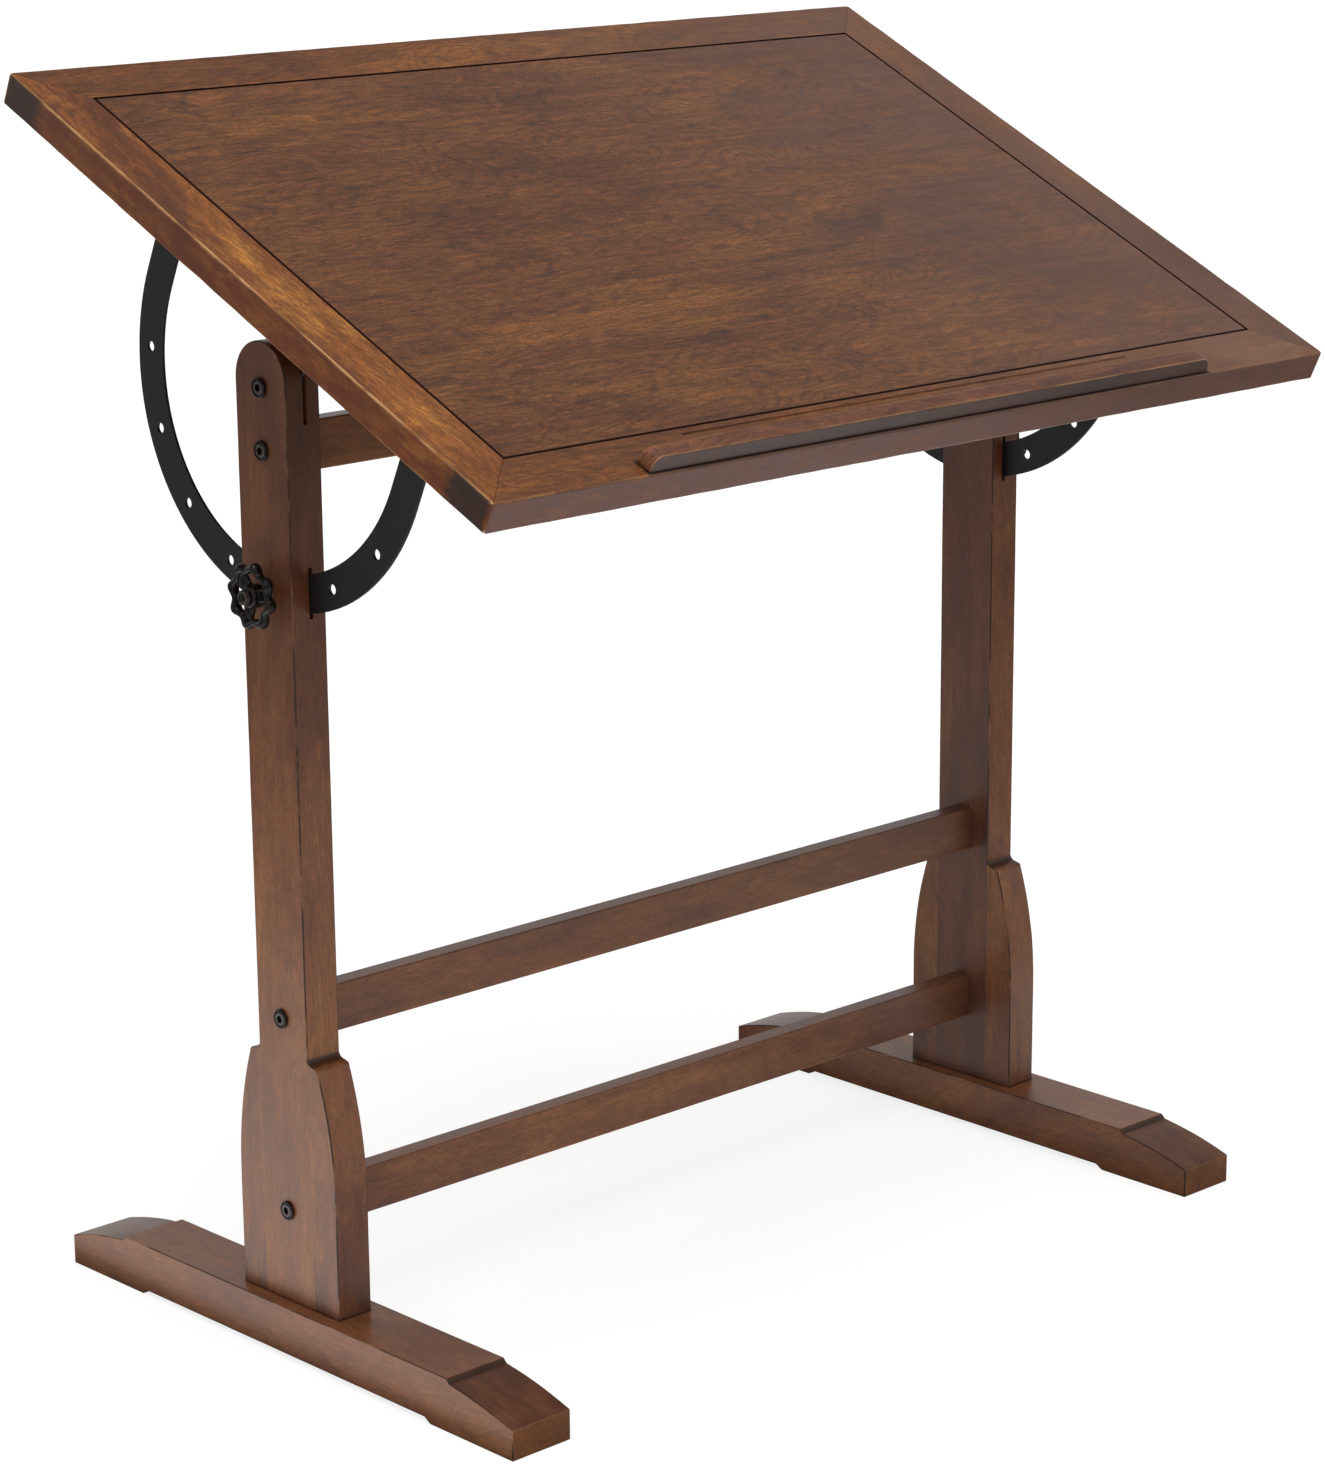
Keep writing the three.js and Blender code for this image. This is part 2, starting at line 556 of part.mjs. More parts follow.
function buildTop() {
  const group = new THREE.Group();
  addPart(group, 'top_panel', panelGeometry(), finishes.panelVeneer(), topCentre);
  const boards = [
    ['front_border', TOP_WIDTH, 0, [0, -TOP_DEPTH / 2]],
    ['right_border', TOP_DEPTH, Math.PI / 2, [TOP_WIDTH / 2, 0]],
    ['back_border', TOP_WIDTH, Math.PI, [0, TOP_DEPTH / 2]],
    ['left_border', TOP_DEPTH, -Math.PI / 2, [-TOP_WIDTH / 2, 0]],
  ];
  for (const [name, length, turn, [x, y]] of boards) {
    const blank = borderGeometry(length);
    const geometry = name === 'front_border' ? cut(blank, [pencilGroove()]) : blank;
    const mesh = addPart(group, name, geometry, finishes.borderWood(), [x, y - TOP_FORWARD, topCentre[2]]);
    mesh.rotation.z = turn;
  }
  const ledgeY = -TOP_DEPTH / 2 - TOP_FORWARD + LEDGE.setback;
  addPart(group, 'pencil_ledge', ledgeGeometry(), finishes.wood(), [0, ledgeY, SURFACE_ABOVE_PIVOT + SEAM]);
  for (const [name, side] of [['left', -1], ['right', 1]]) {
    addPart(group, `${name}_arc`, arcGeometry(side), finishes.blackSteel(), [side * plateX, 0, 0]);
    const bracket = bracketGeometry(side);
    addPart(group, `${name}_pivot_bracket`, bracket, finishes.blackSteel(), [side * plateX, 0, 0]);
    for (const [screw, [x, y]] of Object.entries(undersideScrews(side))) {
      const place = [x, y, plateTop - PLATE - SEAM];
      addPart(group, `${name}_${screw}`, screwGeometry(SCREW), finishes.zincSteel(), place);
    }
  }
  group.position.z = PIVOT_HEIGHT;
  group.rotation.x = REST_TILT;
  return group;
}

const draftingTable = new THREE.Group();
draftingTable.add(buildPostSide('left', -1), buildPostSide('right', 1), buildRails(), buildTop());

// Slides the posts back from the origin, so that the origin is the middle of the footprint.
const footprint = new THREE.Box3().setFromObject(draftingTable, true);
draftingTable.position.y = -(footprint.min.y + footprint.max.y) / 2;

export default draftingTable;
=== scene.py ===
"""Looks of the drafting table: every visible piece, its materials, a pale floor, soft light and the camera.

Pieces are drawn in millimetres, in the same places that the CAD groups use, and become metres when they
are made. Each one is fitted to the extents of the CAD node that it stands for.
"""

import json
import math
from collections import namedtuple
from functools import partial

import bmesh
import bpy
from mathutils import Matrix, Vector, noise

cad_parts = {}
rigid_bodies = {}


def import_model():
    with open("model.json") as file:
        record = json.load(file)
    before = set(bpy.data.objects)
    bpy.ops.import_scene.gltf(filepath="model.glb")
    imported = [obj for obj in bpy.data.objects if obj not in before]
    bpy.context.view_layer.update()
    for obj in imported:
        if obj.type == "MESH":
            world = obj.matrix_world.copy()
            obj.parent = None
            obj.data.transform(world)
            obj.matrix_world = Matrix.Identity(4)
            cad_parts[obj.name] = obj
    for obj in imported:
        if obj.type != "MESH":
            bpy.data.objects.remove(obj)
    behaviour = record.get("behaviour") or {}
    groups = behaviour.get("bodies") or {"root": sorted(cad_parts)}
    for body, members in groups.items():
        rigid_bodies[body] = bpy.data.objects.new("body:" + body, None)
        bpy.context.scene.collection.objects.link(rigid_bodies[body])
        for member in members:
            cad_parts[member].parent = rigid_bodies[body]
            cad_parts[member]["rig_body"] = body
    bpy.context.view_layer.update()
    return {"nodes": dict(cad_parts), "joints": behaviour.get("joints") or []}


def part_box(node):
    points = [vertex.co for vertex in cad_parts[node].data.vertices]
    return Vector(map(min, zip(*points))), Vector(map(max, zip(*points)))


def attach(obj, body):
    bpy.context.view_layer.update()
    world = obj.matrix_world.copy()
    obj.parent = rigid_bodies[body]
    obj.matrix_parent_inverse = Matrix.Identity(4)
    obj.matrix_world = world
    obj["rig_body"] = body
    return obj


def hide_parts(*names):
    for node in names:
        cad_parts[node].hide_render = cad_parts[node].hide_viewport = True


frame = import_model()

MM = 0.001

# ---- places, read from the frame ----

JOINTS = {joint["name"]: joint for joint in frame["joints"]}
PIVOT = Vector(JOINTS["table_tilt"]["pos_m"])
REST_TILT = -math.radians(JOINTS["table_tilt"]["range_deg"][0])  # the joint's lower limit is the level top
TOP_PLACE = Matrix.Translation(PIVOT) @ Matrix.Rotation(REST_TILT, 4, "X")
RAIL_PLACE = Matrix.Translation((0, PIVOT.y, 0))
HALF_TURN = Matrix.Rotation(math.pi, 4, "Z")
SIDES = {"left": -1, "right": 1}
ENDS = ("front", "back")
RAILS = ("top", "middle", "lower")


def side_place(side):
    """Where one post's pieces are drawn: on the post's centre line, with +X out of the table."""
    low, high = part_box(f"{side}_post")
    place = Matrix.Translation(((low.x + high.x) / 2, PIVOT.y, 0))
    return place @ HALF_TURN if side == "left" else place


def extents(node, place):
    """Lowest and highest corner of a CAD node, in millimetres, in the coordinates of a place."""
    to_place = place.inverted()
    points = [(to_place @ v.co) / MM for v in frame["nodes"][node].data.vertices]
    return [Vector([limit(values) for values in zip(*points)]) for limit in (min, max)]


# ---- shape details, in millimetres ----

WOOD_ARRIS = 1.1  # how far the edges of the stand's boards are rounded
RAIL_RADIUS = 1.4
TOP_ARRIS = 2.0
TOP_CORNER = 3.5  # radius of the table top's four corners, seen from above
MITRE_GAP = 0.05
KERF = {"x": -2.0, "width": 3.5, "head_bottom": 745.3, "slot_bottom": 597.5, "slot_top": 637.0}
CLAMP_HEIGHT = 615.5
WING = {"straight_top": 140.0, "curve_radius": 312.0, "curve_top": 243.0}
WING_FULL_EASE = 2.0  # how far above its foot the wing's outer edge is fully eased
WING_FLUSH = 3.0  # how far below its top the wing's glued edge ends
WING_LEDGE = {"tip": (41.8, 245.6), "outer": (39.5, 246.2), "inner": (33.5, 247.4), "cove": (31.0, 248.0)}
FOOT = {"step_half": 203.0, "step": 3.5, "end_height": 25.0, "end_radius": 1.2, "toe_hollow": 4.0}
FOOT_STEP = {"foot": (1.5, 0.1), "lip": (0.6, 0.5)}  # how the step is softened at its bottom and its top
FOOT_RELIEF = {"half": 176.0, "height": 4.0, "run": 7.0}
INLAY = {"width": 2.0, "depth": 1.5, "chamfer": 0.35, "wall_slope": 0.3, "floor_slope": 0.2}
WALL_BAND = 0.1  # what lies this near to the border's inner edge counts as the groove's wall
PENCIL_GROOVE = {"length": 492.0, "radius": 1.9, "from_edge": 38.8, "depth": 1.7, "roundness": 0.999}
LEDGE_END = 10.0
LEDGE_ARRIS = 1.4
ARC = {"radius": 158.0, "width": 30.0, "hole": 4.2, "step": 23.1, "holes": 7, "tab_corner": 4.0}
BRACKET = {"end_radius": 22.0, "straight_top": 45.0, "flange_width": 70.0, "flange_corner": 5.0}
PLATE = {"thickness": 2.5, "arris": 0.35, "overlap": 0.5}
BOLT = {"shank": 3.0, "pivot_shank": 4.0, "head": 7.7, "height": 2.4, "socket": 2.9, "socket_depth": 1.9}
# how far the points of a bolt's face are inside its rim, and how far below its highest ring
BOLT_FACE = ((0.0, 0.8), (0.6, 0.2), (1.4, 0.2), (1.7, 0.9), (2.1, 0.9), (2.4, 0.3), (2.8, 0.0))
INSERT = {"wall": 2.2, "lip": 0.4}
SCREW = {"shank": 0.47, "height": 0.53, "slot_length": 0.6, "slot_width": 0.12}  # shares of the head's radius
SCREW_POINT = 3.0
THREAD = {"pitch": 1.25, "depth": 0.45}
HOLE_GAP = 0.3
PAST = 1.0  # how far a cutter passes beyond what it cuts
GLUE_LINE = 0.28  # the wings fill the gap that the CAD leaves at their glued face

# ---- outlines ----

# ease scales the rounding of the arris at a corner, and the last number paints shade into it where it lies in
# a crease or a contact line
Corner = namedtuple("Corner", "u v radius ease stain", defaults=(0.0, 1.0, 0.0))
Point = namedtuple("Point", "u v ease stain")
UNDIVIDED = 1e6  # a spacing longer than any edge
STRAIGHT_ON = 0.9  # the cosine above which two edges run on as one
LEAST_SLIDE = 0.2
LEAST_MITRE = 0.3


def trace(corners, spacing=14.0, arc_steps=5):
    """A closed outline of points: corners with a radius become arcs, and long edges are divided."""
    bare = []
    for i, corner in enumerate(corners):
        here = Vector((corner.u, corner.v))
        if corner.radius <= 0:
            bare.append(Point(here.x, here.y, corner.ease, corner.stain))
            continue
        neighbours = (corners[i - 1], corners[(i + 1) % len(corners)])
        legs = [(Vector((next_to.u, next_to.v)) - here).normalized() for next_to in neighbours]
        half_angle = legs[0].angle(legs[1]) / 2
        centre = here + (legs[0] + legs[1]).normalized() * corner.radius / math.sin(half_angle)
        start, end = (here + leg * corner.radius / math.tan(half_angle) - centre for leg in legs)
        for step in range(arc_steps + 1):
            spoke = start.slerp(end, step / arc_steps) * corner.radius
            bare.append(Point(centre.x + spoke.x, centre.y + spoke.y, corner.ease, corner.stain))
    outline = []
    for i, point in enumerate(bare):
        after = bare[(i + 1) % len(bare)]
        pieces = max(1, round(math.hypot(after.u - point.u, after.v - point.v) / spacing))
        if point.ease == 0 or after.ease == 0:
            pieces = 1
        for k in range(pieces):
            outline.append(Point(*(a + (b - a) * k / pieces for a, b in zip(point, after))))
    return outline


def angles(first, last, steps):
    """Evenly spaced angles from one to another, both in degrees and both included, as radians."""
    return [math.radians(first + (last - first) * k / steps) for k in range(steps + 1)]


def arc(centre, radii, first, last, steps):
    """Points round a stretch of an ellipse, between two angles in degrees."""
    (u, v), (wide, tall) = centre, radii
    return [(u + wide * math.cos(angle), v + tall * math.sin(angle)) for angle in angles(first, last, steps)]


def sweep(centre, radius, first, last, steps):
    """Corners round a circular arc."""
    return [Corner(*point) for point in arc(centre, (radius, radius), first, last, steps)]


def curve(start, control, end, steps, ease=1.0, stain=0.0):
    """Corners along a quadratic curve, after its start and up to its end."""
    corners = []
    for k in range(1, steps + 1):
        t = k / steps
        u, v = ((1 - t) ** 2 * a + 2 * t * (1 - t) * b + t * t * c for a, b, c in zip(start, control, end))
        corners.append(Corner(u, v, ease=ease, stain=stain))
    return corners


def mirrored(corners):
    """The same corners on the other side of u = 0, in the order that carries an outline on."""
    return [corner._replace(u=-corner.u) for corner in reversed(corners)]


def rectangle(low, high, radius=0.0, ease=1.0):
    (u0, v0), (u1, v1) = low, high
    return [Corner(u, v, radius, ease) for u, v in ((u0, v0), (u1, v0), (u1, v1), (u0, v1))]


def signed_area(outline):
    pairs = zip([outline[-1], *outline], outline)
    return sum(before.u * point.v - point.u * before.v for before, point in pairs) / 2


def inset_directions(outline):
    """For each point, the move that insets its edges by one, along the flush edge where there is one."""
    turn = 1 if signed_area(outline) > 0 else -1
    moves = []
    for i, point in enumerate(outline):
        before = outline[i - 1]
        after = outline[(i + 1) % len(outline)]
        into = Vector((point.u - before.u, point.v - before.v)).normalized()
        out = Vector((after.u - point.u, after.v - point.v)).normalized()
        normal_in = Vector((-into.y, into.x)) * turn
        normal_out = Vector((-out.y, out.x)) * turn
        bends = into.dot(out) <= STRAIGHT_ON
        if point.ease > 0 and before.ease == 0 and bends:
            moves.append(-into / max(LEAST_SLIDE, -into.dot(normal_out)))
        elif point.ease > 0 and after.ease == 0 and bends:
            moves.append(out / max(LEAST_SLIDE, out.dot(normal_in)))
        else:
            moves.append((normal_in + normal_out) / max(LEAST_MITRE, 1 + normal_in.dot(normal_out)))
    return moves


# ---- closed shapes: bmesh solids in millimetres ----

PLANES = {"yz": (1, 2, 0), "xz": (0, 2, 1), "xy": (0, 1, 2)}
WEAR_PATCH = 22.0  # the arris is worn unevenly at this scale
WEAR_SEED_STEP = 7.3


def skin(loops, wear=None, stain=None, ring=False):
    """A closed solid through loops of points. Its ends are capped, or joined to each other when it is a ring.

    wear and the painted shade hold one number for each point, which the materials read back as the arris and
    the shade attributes. The shade is painted into creases and contact lines.
    """
    solid = bmesh.new()
    attributes = {"arris": wear, "stain": stain}
    layers = [(solid.verts.layers.float.new(name), values) for name, values in attributes.items()]
    rows = []
    for i, loop in enumerate(loops):
        row = [solid.verts.new(point) for point in loop]
        for layer, values in layers:
            for j, vert in enumerate(row):
                vert[layer] = values[i][j] if values else 0.0
        rows.append(row)
    pairs = list(zip(rows, rows[1:]))
    if ring:
        pairs.append((rows[-1], rows[0]))
    else:
        solid.faces.new(rows[0])
        solid.faces.new(rows[-1])
    for row, next_row in pairs:
        for j in range(len(row)):
            k = (j + 1) % len(row)
            solid.faces.new((row[j], row[k], next_row[k], next_row[j]))
    bmesh.ops.remove_doubles(solid, verts=solid.verts, dist=0.002)
    bmesh.ops.recalc_face_normals(solid, faces=solid.faces)
    if solid.calc_volume(signed=True) < 0:
        bmesh.ops.reverse_faces(solid, faces=solid.faces)
    return solid


def board(outline, low, high, arris, plane="yz", seed=0, wobble=0.25, steps=4):
    """A board between two faces, its arrises rounded wherever the outline's ease is above zero."""
    u_axis, v_axis, w_axis = PLANES[plane]
    moves = inset_directions(outline)
    radii = []
    for point in outline:
        at = Vector((point.u / WEAR_PATCH, point.v / WEAR_PATCH, seed * WEAR_SEED_STEP))
        radii.append(arris * point.ease * (1 + wobble * noise.noise(at)))

    def loop(angle, at_low):
        inset_share, rise_share = 1 - math.sin(angle), 1 - math.cos(angle)
        places = []
        for point, move, radius in zip(outline, moves, radii):
            place = Vector((0, 0, 0))
            place[u_axis] = point.u + move.x * radius * inset_share
            place[v_axis] = point.v + move.y * radius * inset_share
            place[w_axis] = low + radius * rise_share if at_low else high - radius * rise_share
            places.append(place)
        return places

    quarter = angles(0, 90, steps)
    low_loops = [loop(angle, True) for angle in quarter]
    high_loops = [loop(angle, False) for angle in quarter]
    wear = [[math.sin(2 * angle) * point.ease for point in outline] for angle in quarter]
    # painted shade along the rounded arris where the outline marks a crease
    stain = [[point.stain if angle > 0 else 0.0 for point in outline] for angle in quarter]
    return skin(low_loops + high_loops[::-1], wear + wear[::-1], stain + stain[::-1])


def around(radius, along, axis, sides):
    """A loop of points round an axis."""
    points = arc((0, 0), (radius, radius), 0, 360, sides)[:-1]
    return [Vector((along, *point)) if axis == "x" else Vector((*point, along)) for point in points]


def turned(profile, axis="x", sides=40, wear=None):
    """A turned solid from (radius, distance along the axis) points that start and end on the axis."""
    loops = [around(max(radius, 0.01), along, axis, sides) for radius, along in profile]
    return skin(loops, wear=[[value] * sides for value in wear] if wear else None)


def tube(profile, axis="x", sides=40):
    """A turned ring from (radius, distance along the axis) points that go once round its section."""
    return skin([around(radius, along, axis, sides) for radius, along in profile], ring=True)


def moved(solid, offset):
    bmesh.ops.translate(solid, verts=solid.verts, vec=Vector(offset))
    return solid


def block(low, high):
    """A plain cutter between two corners."""
    return board(trace(rectangle(low[1:], high[1:]), UNDIVIDED), low[0], high[0], 0)


def drill(steps, offset, axis="x", sides=40):
    """A cutter along an axis, from (radius, start, end) steps that follow each other."""
    profile = [(0, steps[0][1])]
    for radius, start, end in steps:
        profile += [(radius, start), (radius, end)]
    profile.append((0, steps[-1][2]))
    return moved(turned(profile, axis, sides), offset)


# ---- pieces ----

SMOOTH_BELOW = math.radians(35)


def add_to_scene(name, data):
    thing = bpy.data.objects.new(name, data)
    bpy.context.scene.collection.objects.link(thing)
    return thing


def make_mesh(name, solid):
    bmesh.ops.scale(solid, verts=solid.verts, vec=(MM, MM, MM))
    mesh = bpy.data.meshes.new(name)
    solid.to_mesh(mesh)
    solid.free()
    return mesh


def combine(piece, solids, operation):
    """Cuts the solids from the piece, or joins them to it."""
    helpers = []
    for solid in solids:
        helper = add_to_scene("helper", make_mesh("helper", solid))
        helper.matrix_world = piece.matrix_world
        helpers.append(helper)
        modifier = piece.modifiers.new("combine", "BOOLEAN")
        modifier.operation = operation
        modifier.solver = "EXACT"
        modifier.object = helper
    bake_modifiers(piece)
    for helper in helpers:
        bpy.data.objects.remove(helper)


def bake_modifiers(piece):
    bpy.context.view_layer.update()
    shown = piece.evaluated_get(bpy.context.evaluated_depsgraph_get())
    result = bpy.data.meshes.new_from_object(shown)
    piece.modifiers.clear()
    piece.data = result


def make_piece(node, solid, place, material, cuts=(), joins=()):
    """Makes the piece that stands for a CAD node, riding on the node's own body."""
    piece = add_to_scene(f"{node}.fine", make_mesh(node, solid))
    piece.matrix_world = place
    if joins:
        combine(piece, joins, "UNION")
    if cuts:
        combine(piece, cuts, "DIFFERENCE")
    piece.data.materials.clear()
    piece.data.materials.append(material)
    shade(piece)
    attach(piece, frame["nodes"][node]["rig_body"])
    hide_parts(node)
    return piece


def smooth(mesh):
    mesh.polygons.foreach_set("use_smooth", [True] * len(mesh.polygons))


def shade(piece):
    """Smooth shading that keeps flat faces flat and steep edges sharp."""
    smooth(piece.data)
    piece.data.set_sharp_from_angle(angle=SMOOTH_BELOW)
    weighted = piece.modifiers.new("weighted_normals", "WEIGHTED_NORMAL")
    weighted.keep_sharp = True


# ---- shader helpers ----

WHITE = (1, 1, 1, 1)
SURFACE_INPUTS = {
    "colour": "Base Color",
    "roughness": "Roughness",
    "metallic": "Metallic",
    "normal": "Normal",
    "coat": "Coat Weight",
    "coat_roughness": "Coat Roughness",
    "specular": "Specular IOR Level",
}


def srgb(*display_values):
    """A linear colour from three 0-255 display values."""
    shares = [value / 255 for value in display_values]
    return tuple(c / 12.92 if c <= 0.04 else ((c + 0.055) / 1.055) ** 2.4 for c in shares) + (1,)


class Nodes:
    """A node tree, with short ways to add nodes to it."""

    def __init__(self, tree):
        self.tree = tree

    def node(self, kind, inputs=None, **settings):
        made = self.tree.nodes.new("ShaderNode" + kind)
        for key, value in settings.items():
            setattr(made, key, value)
        for key, value in (inputs or {}).items():
            self.plug(made.inputs[key], value)
        return made

    def plug(self, socket, value):
        if isinstance(value, bpy.types.NodeSocket):
            self.tree.links.new(value, socket)
        else:
            socket.default_value = value

    def math(self, operation, first, second=0.0):
        return self.node("Math", {0: first, 1: second}, operation=operation).outputs[0]

    def times(self, first, second):
        return self.math("MULTIPLY", first, second)

    def range(self, value, low, high, to_low=0.0, to_high=1.0):
        inputs = {"Value": value, "From Min": low, "From Max": high, "To Min": to_low, "To Max": to_high}
        return self.node("MapRange", inputs).outputs[0]


class Shader(Nodes):
    """One material's node tree, which works in millimetres."""

    def __init__(self, name, slot):
        self.material = bpy.data.materials.new(name)
        self.material["slot"] = slot
        self.material.use_nodes = True
        super().__init__(self.material.node_tree)
        self.surface = self.tree.nodes["Principled BSDF"]

    def scaled(self, vector, scale):
        return self.node("VectorMath", {0: vector, 1: scale}, operation="MULTIPLY").outputs[0]

    def place(self):
        """X, Y and Z of the place, in the piece's own coordinates."""
        in_mm = self.scaled(self.node("TexCoord").outputs["Object"], (1 / MM, 1 / MM, 1 / MM))
        return self.node("SeparateXYZ", {0: in_mm}).outputs

    def facing(self):
        """X, Y and Z of the direction that the surface faces, in the piece's own coordinates."""
        return self.node("SeparateXYZ", {0: self.node("TexCoord").outputs["Normal"]}).outputs

    def attribute(self, name):
        return self.node("Attribute", attribute_name=name).outputs["Fac"]

    def noise(self, at, along, across, detail=3.0, roughness=0.55, distortion=0.0):
        """Noise whose features have one size along the grain and another across it."""
        scaled = self.scaled(at, (1 / along, 1 / across, 1 / across))
        inputs = {"Vector": scaled, "Scale": 1.0, "Detail": detail}
        inputs.update({"Roughness": roughness, "Distortion": distortion})
        return self.node("TexNoise", inputs).outputs["Fac"]

    def patchy(self, at, along, across, detail, weak, strong, spread=(0.35, 0.65)):
        """A strength that goes between weak and strong from patch to patch."""
        return self.range(self.noise(at, along, across, detail), *spread, weak, strong)

    def ramp(self, factor, *stops):
        """A colour that goes smoothly through (position, colour) stops, of which there are at least two."""
        made = self.node("ValToRGB", {"Fac": factor})
        made.color_ramp.interpolation = "EASE"
        elements = made.color_ramp.elements
        while len(elements) < len(stops):
            elements.new(0.5)
        for element, (position, colour) in zip(elements, stops):
            element.position = position
            element.color = colour
        return made.outputs["Color"]

    def mix(self, factor, first, second, blend="MIX"):
        made = self.node("Mix", {0: factor, 6: first, 7: second}, data_type="RGBA", blend_type=blend)
        return made.outputs[2]

    def shaded(self, colour, value):
        """The colour times one number."""
        grey = self.node("CombineColor", {0: value, 1: value, 2: value}).outputs[0]
        return self.mix(1.0, colour, grey, "MULTIPLY")

    def bump(self, *heights):
        """A normal from (height, depth) pairs."""
        normal = None
        for height, depth in heights:
            inputs = {"Height": height, "Distance": depth * MM, "Strength": 1.0}
            if normal is not None:
                inputs["Normal"] = normal
            normal = self.node("Bump", inputs).outputs["Normal"]
        return normal

    def finish(self, **values):
        """The finished material, with these values on its surface."""
        for key, value in values.items():
            self.plug(self.surface.inputs[SURFACE_INPUTS[key]], value)
        return self.material


# ---- materials ----

Tone = namedtuple("Tone", "dark middle light patch")
PANEL_TONE = Tone(srgb(100, 56, 28), srgb(113, 66, 31), srgb(130, 79, 34), srgb(64, 39, 33))
SIDE_BORDER_TONE = Tone(srgb(104, 54, 22), srgb(144, 82, 28), srgb(198, 132, 50), srgb(92, 48, 24))
BORDER_TONE = Tone(srgb(93, 50, 22), srgb(116, 65, 26), srgb(138, 83, 32), srgb(78, 44, 27))
STAND_TONE = Tone(srgb(98, 55, 33), srgb(122, 73, 41), srgb(140, 90, 48), srgb(90, 54, 39))
LEDGE_TONE = Tone(srgb(84, 48, 34), srgb(112, 64, 40), srgb(132, 78, 46), srgb(72, 42, 34))
# worn arrises, and the painted highlight along them
WORN_EDGE_AND_HIGHLIGHT = srgb(220, 166, 108)
# a dark colour for real stains, and for painted shade and shadow
DARK_STAIN_AND_SHADE = srgb(26, 14, 10)
INLAY_STAIN = srgb(46, 14, 9)
RED_BROWN = srgb(68, 31, 15)
CHESTNUT = srgb(104, 42, 6)
# a painted grey sheen for the outer sides of the front and back borders
GREY_BROWN_SHEEN = srgb(102, 65, 57)
BLUE_BROWN = srgb(60, 47, 47)
# greyer and paler colours that paint a sheen on the right of the table top
MUTED_SHEEN = srgb(106, 78, 68)
PALE_SHEEN = srgb(128, 96, 78)
PURPLE_BROWN = srgb(62, 42, 42)

GROWTH_LINES = 26
GRAIN_ORDER = {"x": (0, 1, 2), "y": (1, 0, 2), "z": (2, 1, 0)}
SEED_STEP = (613.0, 287.0, 151.0)
# where in the noise each piece is cut; a stand piece on the right takes the seed after the left one's
SEEDS = {"steel": 1, "oxide": 2, "bronze": 3, "zinc": 4, "panel": 1, "post": 3, "foot": 7, "ledge": 31}
SEEDS.update({"front_wing": 11, "back_wing": 15, "top_rail": 21, "middle_rail": 22, "lower_rail": 23})
SEEDS.update({"front_border": 41, "back_border": 43, "left_border": 45, "right_border": 47})


def side_seed(side, name):
    return SEEDS[name] + (1 if side == "right" else 0)


def grain_coordinates(shader, seed, grain="x"):
    """Places with the first axis along the grain, moved to a place of their own for each seed."""
    place = shader.place()
    turned_to_grain = {i: place[axis] for i, axis in enumerate(GRAIN_ORDER[grain])}
    joined = shader.node("CombineXYZ", turned_to_grain).outputs[0]
    offset = [seed * step for step in SEED_STEP]
    return shader.node("VectorMath", {0: joined, 1: offset}, operation="ADD").outputs[0]


def growth_lines(shader, at, broken, strength):
    """Fine wandering lines, as where a saw or knife crosses the growth rings of a board."""
    growth = shader.noise(at, 260, 80, 2, 0.5, 0.7)
    wave = shader.math("SINE", shader.times(growth, GROWTH_LINES * 2 * math.pi))
    gaps = shader.range(broken, 0.38, 0.6, 0.25, 1.0)
    return shader.times(shader.range(wave, 0.0, 0.95, 0, strength), gaps)


def stained(shader, at, tone, drift, patch, mottle):
    """The wood's own stained colour, which drifts along the board and lies on it in clouds."""
    spread = 0.16 / mottle
    level = shader.range(drift, 0.5 - spread, 0.5 + spread)
    colour = shader.ramp(level, (0.0, tone.dark), (0.5, tone.middle), (1.0, tone.light))
    colour = shader.mix(shader.range(patch, 0.46, 0.3, 0, 0.5 * mottle), colour, tone.light)
    cloud = shader.noise(at, 44, 22, 4, 0.6, 0.9)
    return shader.mix(shader.range(cloud, 0.56, 0.7, 0, 0.62 * mottle), colour, tone.patch)


def figured(shader, at, colour, tone, fibre, figure):
    """The colour with growth lines, streaks, flames, fibres and specks in it."""
    streak = shader.noise(at, 190, 6, 4, 0.62, 0.3)
    flame = shader.noise(at, 30, 5, 5, 0.7, 1.6)
    speck = shader.noise(at, 3.4, 1.7, 3, 0.65)
    colour = shader.mix(growth_lines(shader, at, flame, 0.5 * figure), colour, tone.patch)
    for layer, swing in ((streak, 0.2), (flame, 0.2), (fibre, 0.5), (speck, 0.29)):
        colour = shader.shaded(colour, shader.range(layer, 0.3, 0.7, 1 - swing * figure, 1 + swing * figure))
    return colour


